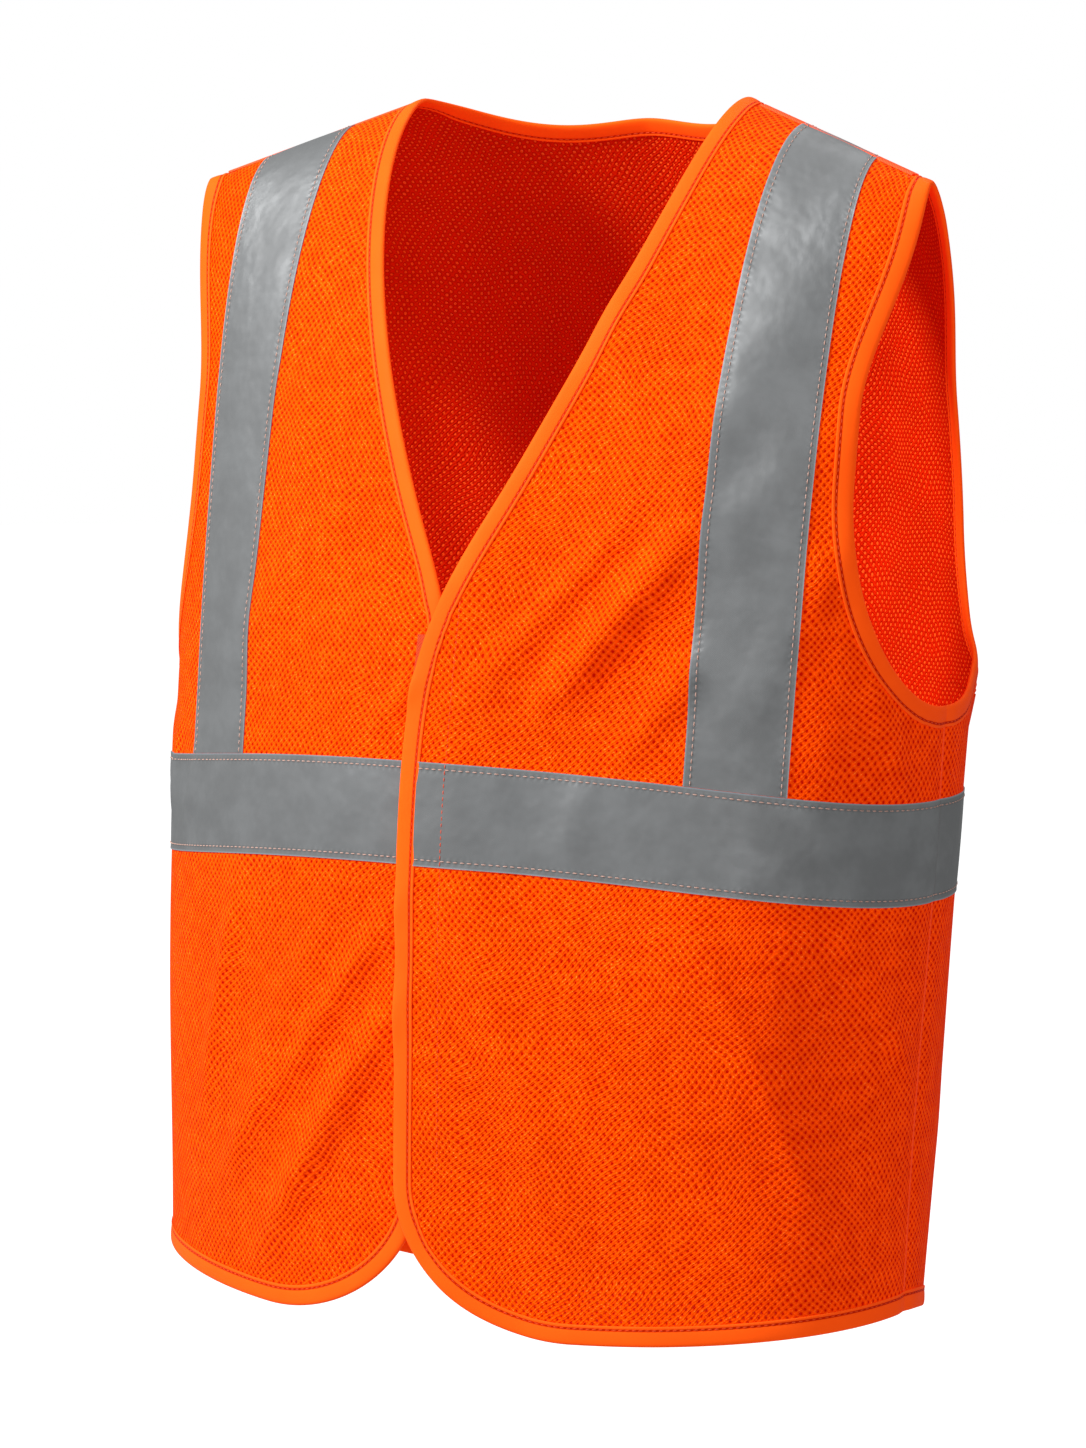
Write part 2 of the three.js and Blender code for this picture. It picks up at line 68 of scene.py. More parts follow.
class Side(Enum):
    """The wearer's two sides."""

    LEFT = 1
    RIGHT = -1

    @property
    def word(self) -> str:
        """The side's name as it stands in the names of pieces."""
        return self.name.lower()


@dataclass(frozen=True)
class Cut:
    """The pattern's sizes in millimetres. Levels are heights above the side of the hem."""

    neck_level: float = 600.0
    underarm_level: float = 300.0
    chest_half_width: float = 218.5
    chest_half_depth: float = 132.5
    hem_half_width: float = 212.0
    hem_half_depth: float = 115.0
    hem_forward: float = 26.0
    roundness: float = 2.2
    neck_half_width: float = 95.0
    shoulder_tip_x: float = 211.0
    shoulder_slope: float = 0.36
    shoulder_round: float = 20.0
    neck_point_y: float = 24.0
    shoulder_tip_y: float = -4.0
    front_curve: float = 422.0
    side_curve: float = 267.0
    back_curve: float = 190.0
    curve_power: float = 1.73
    back_neck_drop: float = 35.0
    front_hem_dip: float = 11.0
    back_hem_dip: float = 40.0
    back_hem_power: float = 1.6
    corner_width: float = 95.0
    corner_height: float = 75.0
    hem_blend: float = 120.0
    lap: float = 12.0
    right_swing: float = 13.0
    swing_level: float = 190.0
    lap_lift: float = 4.4
    lap_lift_width: float = 46.0
    lap_lift_fade: float = 70.0
    v_level: float = 350.0
    v_bow: float = 12.0
    v_softness: float = 10.0
    armhole_front_x: float = 193.0
    armhole_back_x: float = 192.0
    armhole_front_turn: float = 0.42
    armhole_back_turn: float = 0.32
    mesh_thickness: float = 0.7
    tape_width: float = 50.8
    tape_thickness: float = 0.4
    tape_level: float = 204.0
    tape_rise: float = 18.0
    tape_top_x: float = 157.0
    left_tape_x: float = 154.0
    right_tape_x: float = 147.0
    binding_width: float = 9.5
    strip_width: float = 24.0
    strip_low: float = 88.0
    strip_high: float = 332.0
    fold_hem_x: float = 107.0
    fold_lean: float = 0.21


def smooth(value: Array, low: float, high: float) -> Array:
    """Smoothstep of value between low and high."""
    share = np.clip((value - low) / (high - low), 0, 1)
    return share * share * (3 - 2 * share)


def mix(first: Array, second: Array, share: Array) -> Array:
    """Straight mix of two values."""
    return first + (second - first) * share


def signed_power(value: Array, exponent: float) -> Array:
    """Power of the size of value, with its sign kept."""
    return np.sign(value) * np.abs(value) ** exponent


def unit(vectors: Array) -> Array:
    """Vectors of length one."""
    return vectors / np.maximum(np.linalg.norm(vectors, axis=-1, keepdims=True), 1e-9)


def dot(first: Array, second: Array) -> Array:
    """Dot products along the last axis."""
    return np.sum(first * second, axis=-1)


@dataclass(frozen=True)
class Fold:
    """A soft ridge or hollow in the hanging cloth, from one place to another.

    across and up are millimetres round the body from the middle of the front and up the cloth.
    """

    across: tuple[float, float]
    up: tuple[float, float]
    width: float
    height: float

    def rise(self, across: Array, up: Array) -> Array:
        """How far the fold lifts each place of the cloth.

        Args:
            across: Millimetres round the body.
            up: Millimetres up the cloth.

        Returns:
            Millimetres along the cloth's normal.
        """
        run = np.array([self.across[1] - self.across[0], self.up[1] - self.up[0]])
        length = float(np.hypot(*run))
        along = ((across - self.across[0]) * run[0] + (up - self.up[0]) * run[1]) / length
        off = ((across - self.across[0]) * run[1] - (up - self.up[0]) * run[0]) / length
        share = along / length
        fade = smooth(share, -0.12, 0.3) * (1 - smooth(share, 0.62, 1.12))
        return FOLD_DEPTH * self.height * fade * np.exp(-(off / self.width) ** 2)


@dataclass(frozen=True)
class Drape:
    """How the hung cloth leaves its smooth pattern: folds, slow waves and pinched seams."""

    folds: tuple[Fold, ...] = ()
    wave_count: int = 10
    wave_height: float = 0.34
    wave_range: tuple[float, float] = (90.0, 260.0)
    seam_pinch: float = 1.1
    seam_pinch_width: float = 5.0
    ridge_fade: float = 26.0
    seed: int = 11

    def rise(self, points: Array, across: Array, up: Array, to_ridge: Array, seam: float) -> Array:
        """How far the cloth stands off its pattern.

        Args:
            points: The places on the smooth pattern.
            across: Millimetres round the body from the middle of the front.
            up: Millimetres up the cloth.
            to_ridge: Millimetres from the place to the shoulder line.
            seam: Millimetres round the body of the side seams.

        Returns:
            Millimetres along the cloth's normal.
        """
        total = np.zeros(np.broadcast(across, up).shape)
        ring = 4 * seam
        for fold in self.folds:
            for lap in (-ring, 0.0, ring):
                total = total + fold.rise(across + lap, up)
        draws = np.random.default_rng(self.seed)
        for _ in range(self.wave_count):
            length = draws.uniform(*self.wave_range)
            heading = unit(draws.normal(size=3) * np.array([1.0, 1.0, 0.45]))
            phase = draws.uniform(0, 2 * HALF_TURN)
            turn = points @ heading * 2 * HALF_TURN / length
            total = total + self.wave_height * (length / 100.0) * np.sin(turn + phase)
        total = total * smooth(to_ridge, 0, self.ridge_fade)
        pinch = np.exp(-((np.abs(across) - seam) / self.seam_pinch_width) ** 2)
        return total - self.seam_pinch * pinch * smooth(to_ridge, 150, 260)


class Cloth:
    """The surface of the worn vest, with every layer's place on it."""

    def __init__(self, cut: Cut, drape: Drape) -> None:
        """Measures the pattern once, so that lengths along the cloth can be looked up.

        Args:
            cut: The pattern's sizes.
            drape: Folds and waves of the hung cloth.
        """
        self.cut = cut
        self.drape = drape
        self.ring_angles = np.linspace(-HALF_TURN, HALF_TURN, 2881)
        ring = self.bare(self.ring_angles, np.full(2881, cut.underarm_level))
        arc = np.concatenate([[0], np.cumsum(np.linalg.norm(np.diff(ring, axis=0), axis=1))])
        self.ring_arc = arc - np.interp(0, self.ring_angles, arc)
        self.seam_arc = float(np.interp(SEAM_ANGLE, self.ring_angles, self.ring_arc))
        self.table_angles = np.linspace(0, HALF_TURN, 241)
        crowd = cut.neck_level - 60 * np.linspace(1, 0, 241) ** 2.4
        self.table_levels = np.concatenate([np.linspace(-40, cut.neck_level - 60, 321)[:-1], crowd])
        angles, levels = np.meshgrid(self.table_angles, self.table_levels, indexing="ij")
        grid = self.bare(angles, levels)
        steps = np.linalg.norm(np.diff(grid, axis=1), axis=-1)
        lengths = np.concatenate([np.zeros((len(angles), 1)), np.cumsum(steps, axis=1)], axis=1)
        at_hem = np.array([np.interp(0, self.table_levels, row) for row in lengths])
        self.table_lengths = lengths - at_hem[:, None]

    def shoulder_height(self, x: Array) -> Array:
        """Height of the shoulder line above the hem at a distance from the middle."""
        cut = self.cut
        return cut.neck_level - cut.shoulder_slope * (np.hypot(x, cut.shoulder_round) - cut.neck_half_width)

    def half_width(self, level: Array) -> Array:
        """Half the body's width at a level."""
        share = np.minimum(level / self.cut.underarm_level, 1)
        return mix(self.cut.hem_half_width, self.cut.chest_half_width, share)

    def bare(self, angle: Array, level: Array) -> Array:
        """Places on the smooth pattern.

        Args:
            angle: Angles round the body, 0 at the middle of the front, positive to the left.
            level: Levels up the body.

        Returns:
            Points in millimetres, measured from the hem.
        """
        cut = self.cut
        low = np.minimum(level / cut.underarm_level, 1)
        x = self.half_width(level) * signed_power(np.sin(angle), 2 / cut.roundness)
        depth = mix(cut.hem_half_depth, cut.chest_half_depth, low)
        facing = np.cos(angle)
        ring_y = -cut.hem_forward * (1 - low) - depth * signed_power(facing, 2 / cut.roundness)
        top = self.shoulder_height(x)
        rise = (level - cut.underarm_level) / (cut.neck_level - cut.underarm_level)
        stretched = cut.underarm_level + rise * (top - cut.underarm_level)
        z = np.where(level > cut.underarm_level, stretched, level)
        curve = np.where(
            facing > 0,
            mix(cut.side_curve, cut.front_curve, facing),
            mix(cut.side_curve, cut.back_curve, -facing),
        )
        drop = np.clip((top - z) / curve, 0, 1)
        turn = (1 - (1 - drop) ** cut.curve_power) ** (1 / cut.curve_power)
        span = cut.shoulder_tip_x - cut.neck_half_width
        shoulder_y = mix(cut.neck_point_y, cut.shoulder_tip_y, (np.abs(x) - cut.neck_half_width) / span)
        return np.stack([x, mix(shoulder_y, ring_y, turn), z], -1)

    def slopes(self, angle: Array, level: Array) -> tuple[Array, Array]:
        """How a place moves with the angle and with the level."""
        turn, rise = 0.002, 0.2
        round_body = (self.bare(angle + turn, level) - self.bare(angle - turn, level)) / (2 * turn)
        upwards = (self.bare(angle, level + rise) - self.bare(angle, level - rise)) / (2 * rise)
        return round_body, upwards

    def normal(self, angle: Array, level: Array) -> Array:
        """Outward direction of the smooth cloth."""
        return unit(np.cross(*self.slopes(angle, level)))

    def across(self, angle: Array) -> Array:
        """Millimetres round the body from the middle of the front."""
        return np.interp(angle, self.ring_angles, self.ring_arc)

    def angle_of(self, across: Array) -> Array:
        """Angle of a place so many millimetres round the body."""
        return np.interp(across, self.ring_arc, self.ring_angles)

    def up(self, angle: Array, level: Array) -> Array:
        """Millimetres up the cloth from the hem's level, along the cloth."""
        turned = np.abs(np.mod(angle + HALF_TURN, 2 * HALF_TURN) - HALF_TURN)
        column = np.clip(turned / HALF_TURN * (len(self.table_angles) - 1), 0, len(self.table_angles) - 1.001)
        row = np.interp(level, self.table_levels, np.arange(len(self.table_levels)))
        row = np.minimum(row, len(self.table_levels) - 1.001)
        c, r = column.astype(int), row.astype(int)
        dc, dr = column - c, row - r
        table = self.table_lengths
        return mix(mix(table[c, r], table[c, r + 1], dr), mix(table[c + 1, r], table[c + 1, r + 1], dr), dc)

    def rows(self, angle: float, low: float, high: float, spacing: float) -> Array:
        """Levels that lie evenly along the cloth at one angle."""
        levels = high - (high - low) * (1 - np.linspace(0, 1, 4001)) ** 1.8
        lengths = self.up(np.full(levels.shape, angle), levels)
        count = max(1, round(float(lengths[-1] - lengths[0]) / spacing))
        return np.interp(np.linspace(lengths[0], lengths[-1], count + 1), lengths, levels)

    def lift(self, angle: Array, level: Array, side: Side | None) -> Array:
        """How far the left front stands off the body where it laps over the right front."""
        if side is not Side.LEFT:
            return np.zeros(np.broadcast(angle, level).shape)
        cut = self.cut
        x = self.bare(angle, level)[..., 0]
        near = 1 - smooth(x, cut.lap, cut.lap + cut.lap_lift_width)
        low = 1 - smooth(level, cut.v_level, cut.v_level + cut.lap_lift_fade)
        return np.where(np.cos(angle) > 0, cut.lap_lift * near * low, 0.0)

    def place(self, angle: Array, level: Array, offset: Array, side: Side | None = None) -> Array:
        """Places on a layer of the draped cloth.

        Args:
            angle: Angles round the body.
            level: Levels up the body.
            offset: Distance of the layer from the middle of the mesh, outwards.
            side: The front that the layer belongs to, or None for the rest of the body.

        Returns:
            Points in metres in the part's frame.
        """
        cut = self.cut
        level = np.minimum(level, cut.neck_level)
        angle, level, offset = np.broadcast_arrays(angle, level, offset)
        up = self.up(angle, level)
        to_ridge = self.up(angle, np.full(level.shape, cut.neck_level)) - up
        bare = self.bare(angle, level)
        around = np.mod(angle + HALF_TURN, 2 * HALF_TURN) - HALF_TURN
        drape = self.drape.rise(bare, self.across(around), up, to_ridge, self.seam_arc)
        away = offset + drape + self.lift(angle, level, side)
        point = bare + self.normal(angle, level) * away[..., None]
        return (point - np.array([0, cut.neck_point_y, cut.neck_level])) / 1000

    def angle_at(self, x: Array, level: Array) -> Array:
        """Angle of the front's place at a distance from the middle."""
        share = np.clip(np.abs(x) / self.half_width(level), 0, 1)
        return np.sign(x) * np.arcsin(share ** (self.cut.roundness / 2))

    def arc_angle(self, length: Array, angle: Array, level: Array) -> Array:
        """Angle that a length round the body takes up."""
        return length / np.linalg.norm(self.slopes(angle, level)[0], axis=-1)

    def slide(self, angle: Array, level: Array, into: Array, distance: Array) -> tuple[Array, Array]:
        """Moves places along the cloth.

        Args:
            angle: Angles of the places.
            level: Levels of the places.
            into: Directions to move in.
            distance: How far to move, in millimetres.

        Returns:
            The new angles and levels.
        """
        angle, level, distance = (np.array(a, float) for a in np.broadcast_arrays(angle, level, distance))
        parts = 3
        for _ in range(parts):
            held = np.minimum(level, self.cut.neck_level - NEAR_RIDGE)
            turn, rise = self.slopes(angle, held)
            turn2, rise2, skew = dot(turn, turn), dot(rise, rise), dot(turn, rise)
            on_turn, on_rise = dot(into, turn), dot(into, rise)
            size = turn2 * rise2 - skew ** 2
            top = smooth(held, self.cut.neck_level - 9, self.cut.neck_level - 1.5)
            free_turn = (on_turn * rise2 - on_rise * skew) / size
            free_rise = (on_rise * turn2 - on_turn * skew) / size
            angle = angle + mix(free_turn, on_turn / turn2, top) * distance / parts
            level = level + mix(free_rise, 0.0, top) * distance / parts
        return angle, np.minimum(level, self.cut.neck_level)


class Outline:
    """Edges of the cut pieces. Those of the fronts are the wearer's left; the right mirrors them."""

    def __init__(self, cloth: Cloth) -> None:
        """Keeps the cloth that the edges lie on."""
        self.cloth = cloth
        self.cut = cloth.cut

    def swing(self, level: Array, side: Side) -> Array:
        """How far the foot of the right front hangs back from the left one."""
        if side is Side.LEFT:
            return 0.0 * level
        return self.cut.right_swing * (1 - smooth(level, 0, self.cut.swing_level))

    def neck_edge_x(self, level: Array, side: Side = Side.LEFT) -> Array:
        """Distance of the front edge from the middle."""
        cut = self.cut
        share = (cut.neck_level - level) / (cut.neck_level - cut.v_level)
        line = cut.neck_half_width * (1 - share) + 4 * cut.v_bow * share * (1 - share)
        edge = -cut.lap + cut.v_softness * np.log1p(np.exp((line + cut.lap) / cut.v_softness))
        return edge + self.swing(level, side)

    def armhole(self, level: Array, is_back: bool) -> Array:
        """Angle of the armhole's edge at a level above the underarm."""
        cut = self.cut
        share = np.clip((level - cut.underarm_level) / (cut.neck_level - cut.underarm_level), 0, 1)
        turn_share = cut.armhole_back_turn if is_back else cut.armhole_front_turn
        narrow = self.cloth.angle_at(cut.armhole_back_x if is_back else cut.armhole_front_x, cut.neck_level)
        tip = self.cloth.angle_at(cut.shoulder_tip_x, cut.neck_level)
        bend = np.sqrt(1 - (1 - np.minimum(share / turn_share, 1)) ** 2)
        angle = mix(SEAM_ANGLE, narrow, bend) + (tip - narrow) * smooth(share, 0.55, 1)
        return HALF_TURN - angle if is_back else angle

    def side_edge(self, level: Array, is_back: bool) -> Array:
        """Angle of the side seam, and above it of the armhole."""
        return np.where(level > self.cut.underarm_level, self.armhole(level, is_back), SEAM_ANGLE)

    def hem(self, angle: Array, side: Side = Side.LEFT) -> Array:
        """Level of the hem at an angle, in relation to the side of the hem."""
        cut = self.cut
        facing = np.cos(angle)
        edge = cut.lap - float(self.swing(np.array(0.0), side))
        from_edge = self.cloth.bare(angle, np.zeros(np.shape(angle)))[..., 0] + edge
        corner = np.clip(1 - from_edge / cut.corner_width, 0, 1)
        front = cut.corner_height * (1 - np.sqrt(1 - corner ** 2)) - cut.front_hem_dip * facing ** 2
        back = -cut.back_hem_dip * np.abs(facing) ** cut.back_hem_power
        return np.where(facing < 0, back, front)

    def from_hem(self, level: Array, angle: Array, side: Side = Side.LEFT) -> Array:
        """Level of a row of cloth, which follows the hem near it."""
        return level + self.hem(angle, side) * np.maximum(1 - level / self.cut.hem_blend, 0)

    def back_neck_drop(self, x: Array) -> Array:
        """How far the back's top edge is under the neck points."""
        share = np.minimum(np.abs(x) / self.cut.neck_half_width, 1)
        return self.cut.back_neck_drop * (1 - share ** 2.4)

    def back_level(self, level: Array, angle: Array) -> Array:
        """Level of a row of the back, squeezed under the neckline."""
        x = self.cloth.bare(angle, np.full(np.shape(angle), self.cut.neck_level))[..., 0]
        top = self.cut.neck_level - self.back_neck_drop(x)
        return self.from_hem(level * top / self.cut.neck_level, angle)

    def tape_low(self, angle: Array) -> Array:
        """Level of the waist tape's lower edge."""
        return self.cut.tape_level + self.cut.tape_rise * np.maximum(np.cos(angle), 0) ** 2

    def tape_middle(self, level: Array, low_x: float, is_back: bool) -> Array:
        """Angle of the middle of a shoulder tape."""
        cut = self.cut
        share = np.clip((level - cut.tape_level) / (cut.neck_level - cut.tape_level), 0, 1)
        angle = self.cloth.angle_at(mix(low_x, cut.tape_top_x, share), level)
        return HALF_TURN - angle if is_back else angle

    def front_path(self, side: Side) -> tuple[Array, Array]:
        """A front's edge from the side seam's foot round the corner to the neck point.

        Args:
            side: Which front. The path is that of the left front, and the right one's is its mirror.

        Returns:
            Angles and levels of the places along it.
        """
        cut, cloth = self.cut, self.cloth
        edge_x = -cut.lap + float(self.swing(np.array(0.0), side))
        corner_start = float(cloth.across(cloth.angle_at(edge_x + cut.corner_width, 0.0)))
        straight = cloth.angle_of(np.linspace(cloth.seam_arc, corner_start, 90))
        bend = np.linspace(0, SEAM_ANGLE, 80)[1:]
        corner = cloth.angle_at(edge_x + cut.corner_width * (1 - np.sin(bend)), np.zeros(79))
        foot = np.concatenate([straight, corner])
        levels = cloth.rows(0.35, 1.0, cut.neck_level, 2.5)
        edge = cloth.angle_at(self.neck_edge_x(levels, side), levels)
        angle = np.concatenate([foot, edge])
        foot_level = self.from_hem(np.zeros(len(foot)), foot, side)
        return angle, np.concatenate([foot_level, self.from_hem(levels, edge, side)])


class Trail:
    """A line on the cloth, with the direction that leads from it into the cloth."""

    def __init__(self, cloth: Cloth, angle: Array, level: Array, inward: int, side: Side | None) -> None:
        """Keeps a line.

        Args:
            cloth: The cloth that the line lies on.
            angle: Angles of the line's places.
            level: Levels of the line's places.
            inward: 1 where the cloth is to the left of the line, seen from outside, or -1.
            side: The front that the line belongs to, or None.
        """
        self.cloth, self.angle, self.level, self.inward, self.side = cloth, angle, level, inward, side

    def spaced(self, spacing: float) -> "Trail":
        """The same line with its places a given distance apart."""
        points = self.cloth.bare(self.angle, self.level)
        steps = np.linalg.norm(np.diff(points, axis=0), axis=1)
        length = np.concatenate([[0], np.cumsum(steps)])
        count = max(2, round(float(length[-1]) / spacing))
        where = np.linspace(0, length[-1], count + 1)
        place = np.interp(where, length, np.arange(len(length)))
        angle = np.interp(place, np.arange(len(length)), self.angle)
        level = np.interp(place, np.arange(len(length)), self.level)
        return Trail(self.cloth, angle, level, self.inward, self.side)

    def lengths(self) -> Array:
        """Millimetres along the line of each of its places."""
        points = self.cloth.bare(self.angle, self.level)
        return np.concatenate([[0], np.cumsum(np.linalg.norm(np.diff(points, axis=0), axis=1))])

    def into(self) -> Array:
        """Directions from the line into the cloth."""
        points = self.cloth.bare(self.angle, self.level)
        along = unit(np.gradient(points, axis=0))
        normal = self.cloth.normal(self.angle, np.minimum(self.level, self.cloth.cut.neck_level - NEAR_RIDGE))
        return unit(np.cross(normal, along)) * self.inward

    def band(self, distances: Array, offsets: Array) -> Array:
        """Points at distances into the cloth and heights over it, for each place of the line.

        Args:
            distances: How far into the cloth, one for each point across.
            offsets: How far out of the cloth, one for each point across.

        Returns:
            Points in metres, places of the line by points across.
        """
        angle, level = self.cloth.slide(
            self.angle[:, None], self.level[:, None], self.into()[:, None, :], distances[None, :])
        return self.cloth.place(angle, level, offsets, self.side)

    def inset(self, distance: float) -> "Trail":
        """The line that runs beside this one, so far into the cloth."""
        distances = np.full(len(self.angle), distance)
        angle, level = self.cloth.slide(self.angle, self.level, self.into(), distances)
        return Trail(self.cloth, angle, level, self.inward, self.side)


# ---- Meshes.


def new_object(name: str, points: Array, faces: list[tuple[int, ...]], loops_uv: Array | None,
               look: Array | None, materials: list[bpy.types.Material], crease: float) -> bpy.types.Object:
    """Makes an object of points and faces.

    Args:
        name: Name of the piece.
        points: Corner points in metres.
        faces: Corner numbers of each face, in order seen from outside.
        loops_uv: Cloth millimetres of each face corner, or None.
        look: Material number of each face, or None.
        materials: Materials of the piece.
        crease: Angle in radians past which an edge is sharp.

    Returns:
        The object, at the origin.
    """
    data = bpy.data.meshes.new(name)
    data.from_pydata(points.reshape(-1, 3).tolist(), [], faces)
    if loops_uv is not None:
        layer = data.uv_layers.new(name=UV_NAME)
        layer.data.foreach_set("uv", np.asarray(loops_uv, np.float32).ravel())
    for material in materials:
        data.materials.append(material)
    if look is not None:
        data.polygons.foreach_set("material_index", np.asarray(look, np.int32))
    data.shade_smooth()
    data.set_sharp_from_angle(angle=crease)
    data.update()
    piece = bpy.data.objects.new(name, data)
    bpy.context.scene.collection.objects.link(piece)
    return piece


def slab(name: str, outer: Array, inner: Array, uv: Array,
         materials: list[bpy.types.Material]) -> bpy.types.Object:
    """Makes a closed sheet of two grids of points.

    Args:
        name: Name of the piece.
        outer: Points of the outside, rows upwards by columns to the left.
        inner: Points of the inside.
        uv: Cloth millimetres of each place.
        materials: Materials of the outside, the inside and the cut edge.

    Returns:
        The piece.
    """
    rows, columns = outer.shape[:2]
    count = rows * columns
    ids = np.arange(count).reshape(rows, columns)
    a, b, c, d = ids[:-1, :-1].ravel(), ids[:-1, 1:].ravel(), ids[1:, 1:].ravel(), ids[1:, :-1].ravel()
    front = np.stack([a, b, c, d], 1)
    back = np.stack([a, d, c, b], 1) + count
    rim = np.concatenate([ids[0, :], ids[1:, -1], ids[-1, -2::-1], ids[-2:0:-1, 0]])
    ahead = np.roll(rim, -1)
    border = np.stack([rim, rim + count, ahead + count, ahead], 1)
    faces = np.concatenate([front, back, border])
    look = np.concatenate([np.zeros(len(front)), np.ones(len(back)), np.full(len(border), 2)])
    look = np.minimum(look, len(materials) - 1)
    flat_uv = np.concatenate([uv.reshape(-1, 2), uv.reshape(-1, 2)])
    points = np.concatenate([outer.reshape(-1, 3), inner.reshape(-1, 3)])
    return new_object(name, points, faces.tolist(), flat_uv[faces.ravel()], look, materials, 0.9)


def sweep(name: str, points: Array, lengths: Array, widths: Array, materials: list[bpy.types.Material],
          crease: float = 1.1) -> bpy.types.Object:
    """Makes a closed bar of a cross-section carried along a line.

    Args:
        name: Name of the piece.
        points: Points, places of the line by points round the cross-section.
        lengths: Millimetres along the line of each place.
        widths: Millimetres round the cross-section of each of its points, and back at the first.
        materials: Materials of the piece.
        crease: Angle in radians past which an edge is sharp.

    Returns:
        The piece.
    """
    places, count = points.shape[:2]
    s, p = np.meshgrid(np.arange(places - 1), np.arange(count), indexing="ij")
    s, p = s.ravel(), p.ravel()
    q = (p + 1) % count
    faces = np.stack([s * count + p, s * count + q, (s + 1) * count + q, (s + 1) * count + p], 1)
    uv = np.stack([
        np.stack([lengths[s], widths[p]], 1), np.stack([lengths[s], widths[p + 1]], 1),
        np.stack([lengths[s + 1], widths[p + 1]], 1), np.stack([lengths[s + 1], widths[p]], 1)], 1)
    cross = np.cross(points[1:] - points[:-1], np.roll(points, -1, 1)[:-1] - points[:-1])
    centre = points.mean(1, keepdims=True)
    flipped = float(np.sum(cross * (points[:-1] - centre[:-1]))) < 0
    caps = [list(range(count)), [(places - 1) * count + i for i in range(count)]]
    caps = [caps[0], caps[1][::-1]]
    rows = faces.tolist()
    loops = uv.reshape(-1, 2)
    if not flipped:
        rows = [row[::-1] for row in rows]
        loops = uv[:, ::-1].reshape(-1, 2)
        caps = [cap[::-1] for cap in caps]
    cap_uv = np.array([[lengths[0], widths[i]] for i in range(count)] * 2)
    rows = rows + [cap[::-1] for cap in caps]
    return new_object(name, points, rows, np.concatenate([loops, cap_uv]), None, materials, crease)


def joined(pieces: list[bpy.types.Object], name: str) -> bpy.types.Object:
    """Joins pieces into one."""
    bpy.ops.object.select_all(action="DESELECT")
    for piece in pieces:
        piece.select_set(True)
    bpy.context.view_layer.objects.active = pieces[0]
    bpy.ops.object.join()
    pieces[0].name = name
    pieces[0].data.name = name
    return pieces[0]


class Stitches:
    """Gathers short threads and makes them one piece."""

    SIDES = 6
    RINGS = ((-0.78, 0.62, -0.32), (0.0, 1.0, 0.25), (0.78, 0.62, -0.32))
    TIPS = (-1.0, 1.0)

    def __init__(self) -> None:
        """Starts with no thread."""
        self.centres: list[Array] = []
        self.along: list[Array] = []
        self.out: list[Array] = []
        self.sizes: list[Array] = []
        self.looks: list[Array] = []

    def add(self, centres: Array, along: Array, out: Array, length: float, radius: float, look: int) -> None:
        """Adds a row of stitches.

        Args:
            centres: Middle of each stitch, in metres.
            along: Direction of each stitch.
            out: Direction out of the cloth at each stitch.
            length: Length of a stitch in millimetres.
            radius: Thickness of the thread in millimetres, from its middle.
            look: Number of the thread's material.
        """
        count = len(centres)
        self.centres.append(centres)
        self.along.append(along)
        self.out.append(out)
        self.sizes.append(np.tile([length / 2000, radius / 1000], (count, 1)))
        self.looks.append(np.full(count, look))

    def row(self, trail: Trail, offset: float, pitch: float, length: float, radius: float, look: int,
            slant: float = 0.0) -> None:
        """Adds stitches along a line of the cloth.

        Args:
            trail: The line.
            offset: Height of the thread over the middle of the mesh, outwards.
            pitch: Distance from stitch to stitch.
            length: Length of a stitch.
            radius: Thickness of the thread, from its middle.
            look: Number of the thread's material.
            slant: How far each stitch turns from the line, in radians.
        """
        fine = trail.spaced(pitch / 2)
        points = fine.cloth.place(fine.angle, fine.level, np.full(len(fine.angle), offset), fine.side)
        normal = fine.cloth.normal(fine.angle, np.minimum(fine.level, fine.cloth.cut.neck_level - NEAR_RIDGE))
        along = unit(np.gradient(points, axis=0))
        middle = slice(1, None, 2)
        side = np.cross(normal, along)
        heading = along * math.cos(slant) + side * math.sin(slant)
        self.add(points[middle], heading[middle], normal[middle], length, radius, look)

    def piece(self, name: str, materials: list[bpy.types.Material]) -> bpy.types.Object:
        """Makes all the stitches one piece."""
        centres, along, out = (np.concatenate(a) for a in (self.centres, self.along, self.out))
        sizes, looks = np.concatenate(self.sizes), np.concatenate(self.looks)
        out = unit(out - along * dot(out, along)[:, None])
        side = np.cross(along, out)
        turns = np.arange(self.SIDES) * 2 * HALF_TURN / self.SIDES
        half, thick = sizes[:, :1], sizes[:, 1:]
        verts = []
        for share, width, rise in self.RINGS:
            for turn in turns:
                verts.append(centres + along * share * half + out * thick * (math.sin(turn) * width + rise)
                             + side * thick * math.cos(turn) * width)
        for tip in self.TIPS:
            verts.append(centres + along * tip * half - out * thick * 0.9)
        points = np.stack(verts, 1)
        n, rings = self.SIDES, len(self.RINGS)
        faces = []
        for ring in range(rings - 1):
            for i in range(n):
                j = (i + 1) % n
                faces.append((ring * n + i, (ring + 1) * n + i, (ring + 1) * n + j, ring * n + j))
        for i in range(n):
            j = (i + 1) % n
            faces.append((rings * n, i, j))
            faces.append((rings * n + 1, (rings - 1) * n + j, (rings - 1) * n + i))
        each = points.shape[1]
        all_faces = [tuple(each * k + i for i in face) for k in range(len(points)) for face in faces]
        look = np.repeat(looks, len(faces))
        along_mm = np.array([i * 1.0 for face in faces for i in face])
        uv = np.stack([np.tile(along_mm, len(points)), np.repeat(np.arange(len(points)), len(along_mm))], 1)
        return new_object(name, points, all_faces, uv, look, materials, 1.4)


# ---- Node trees.


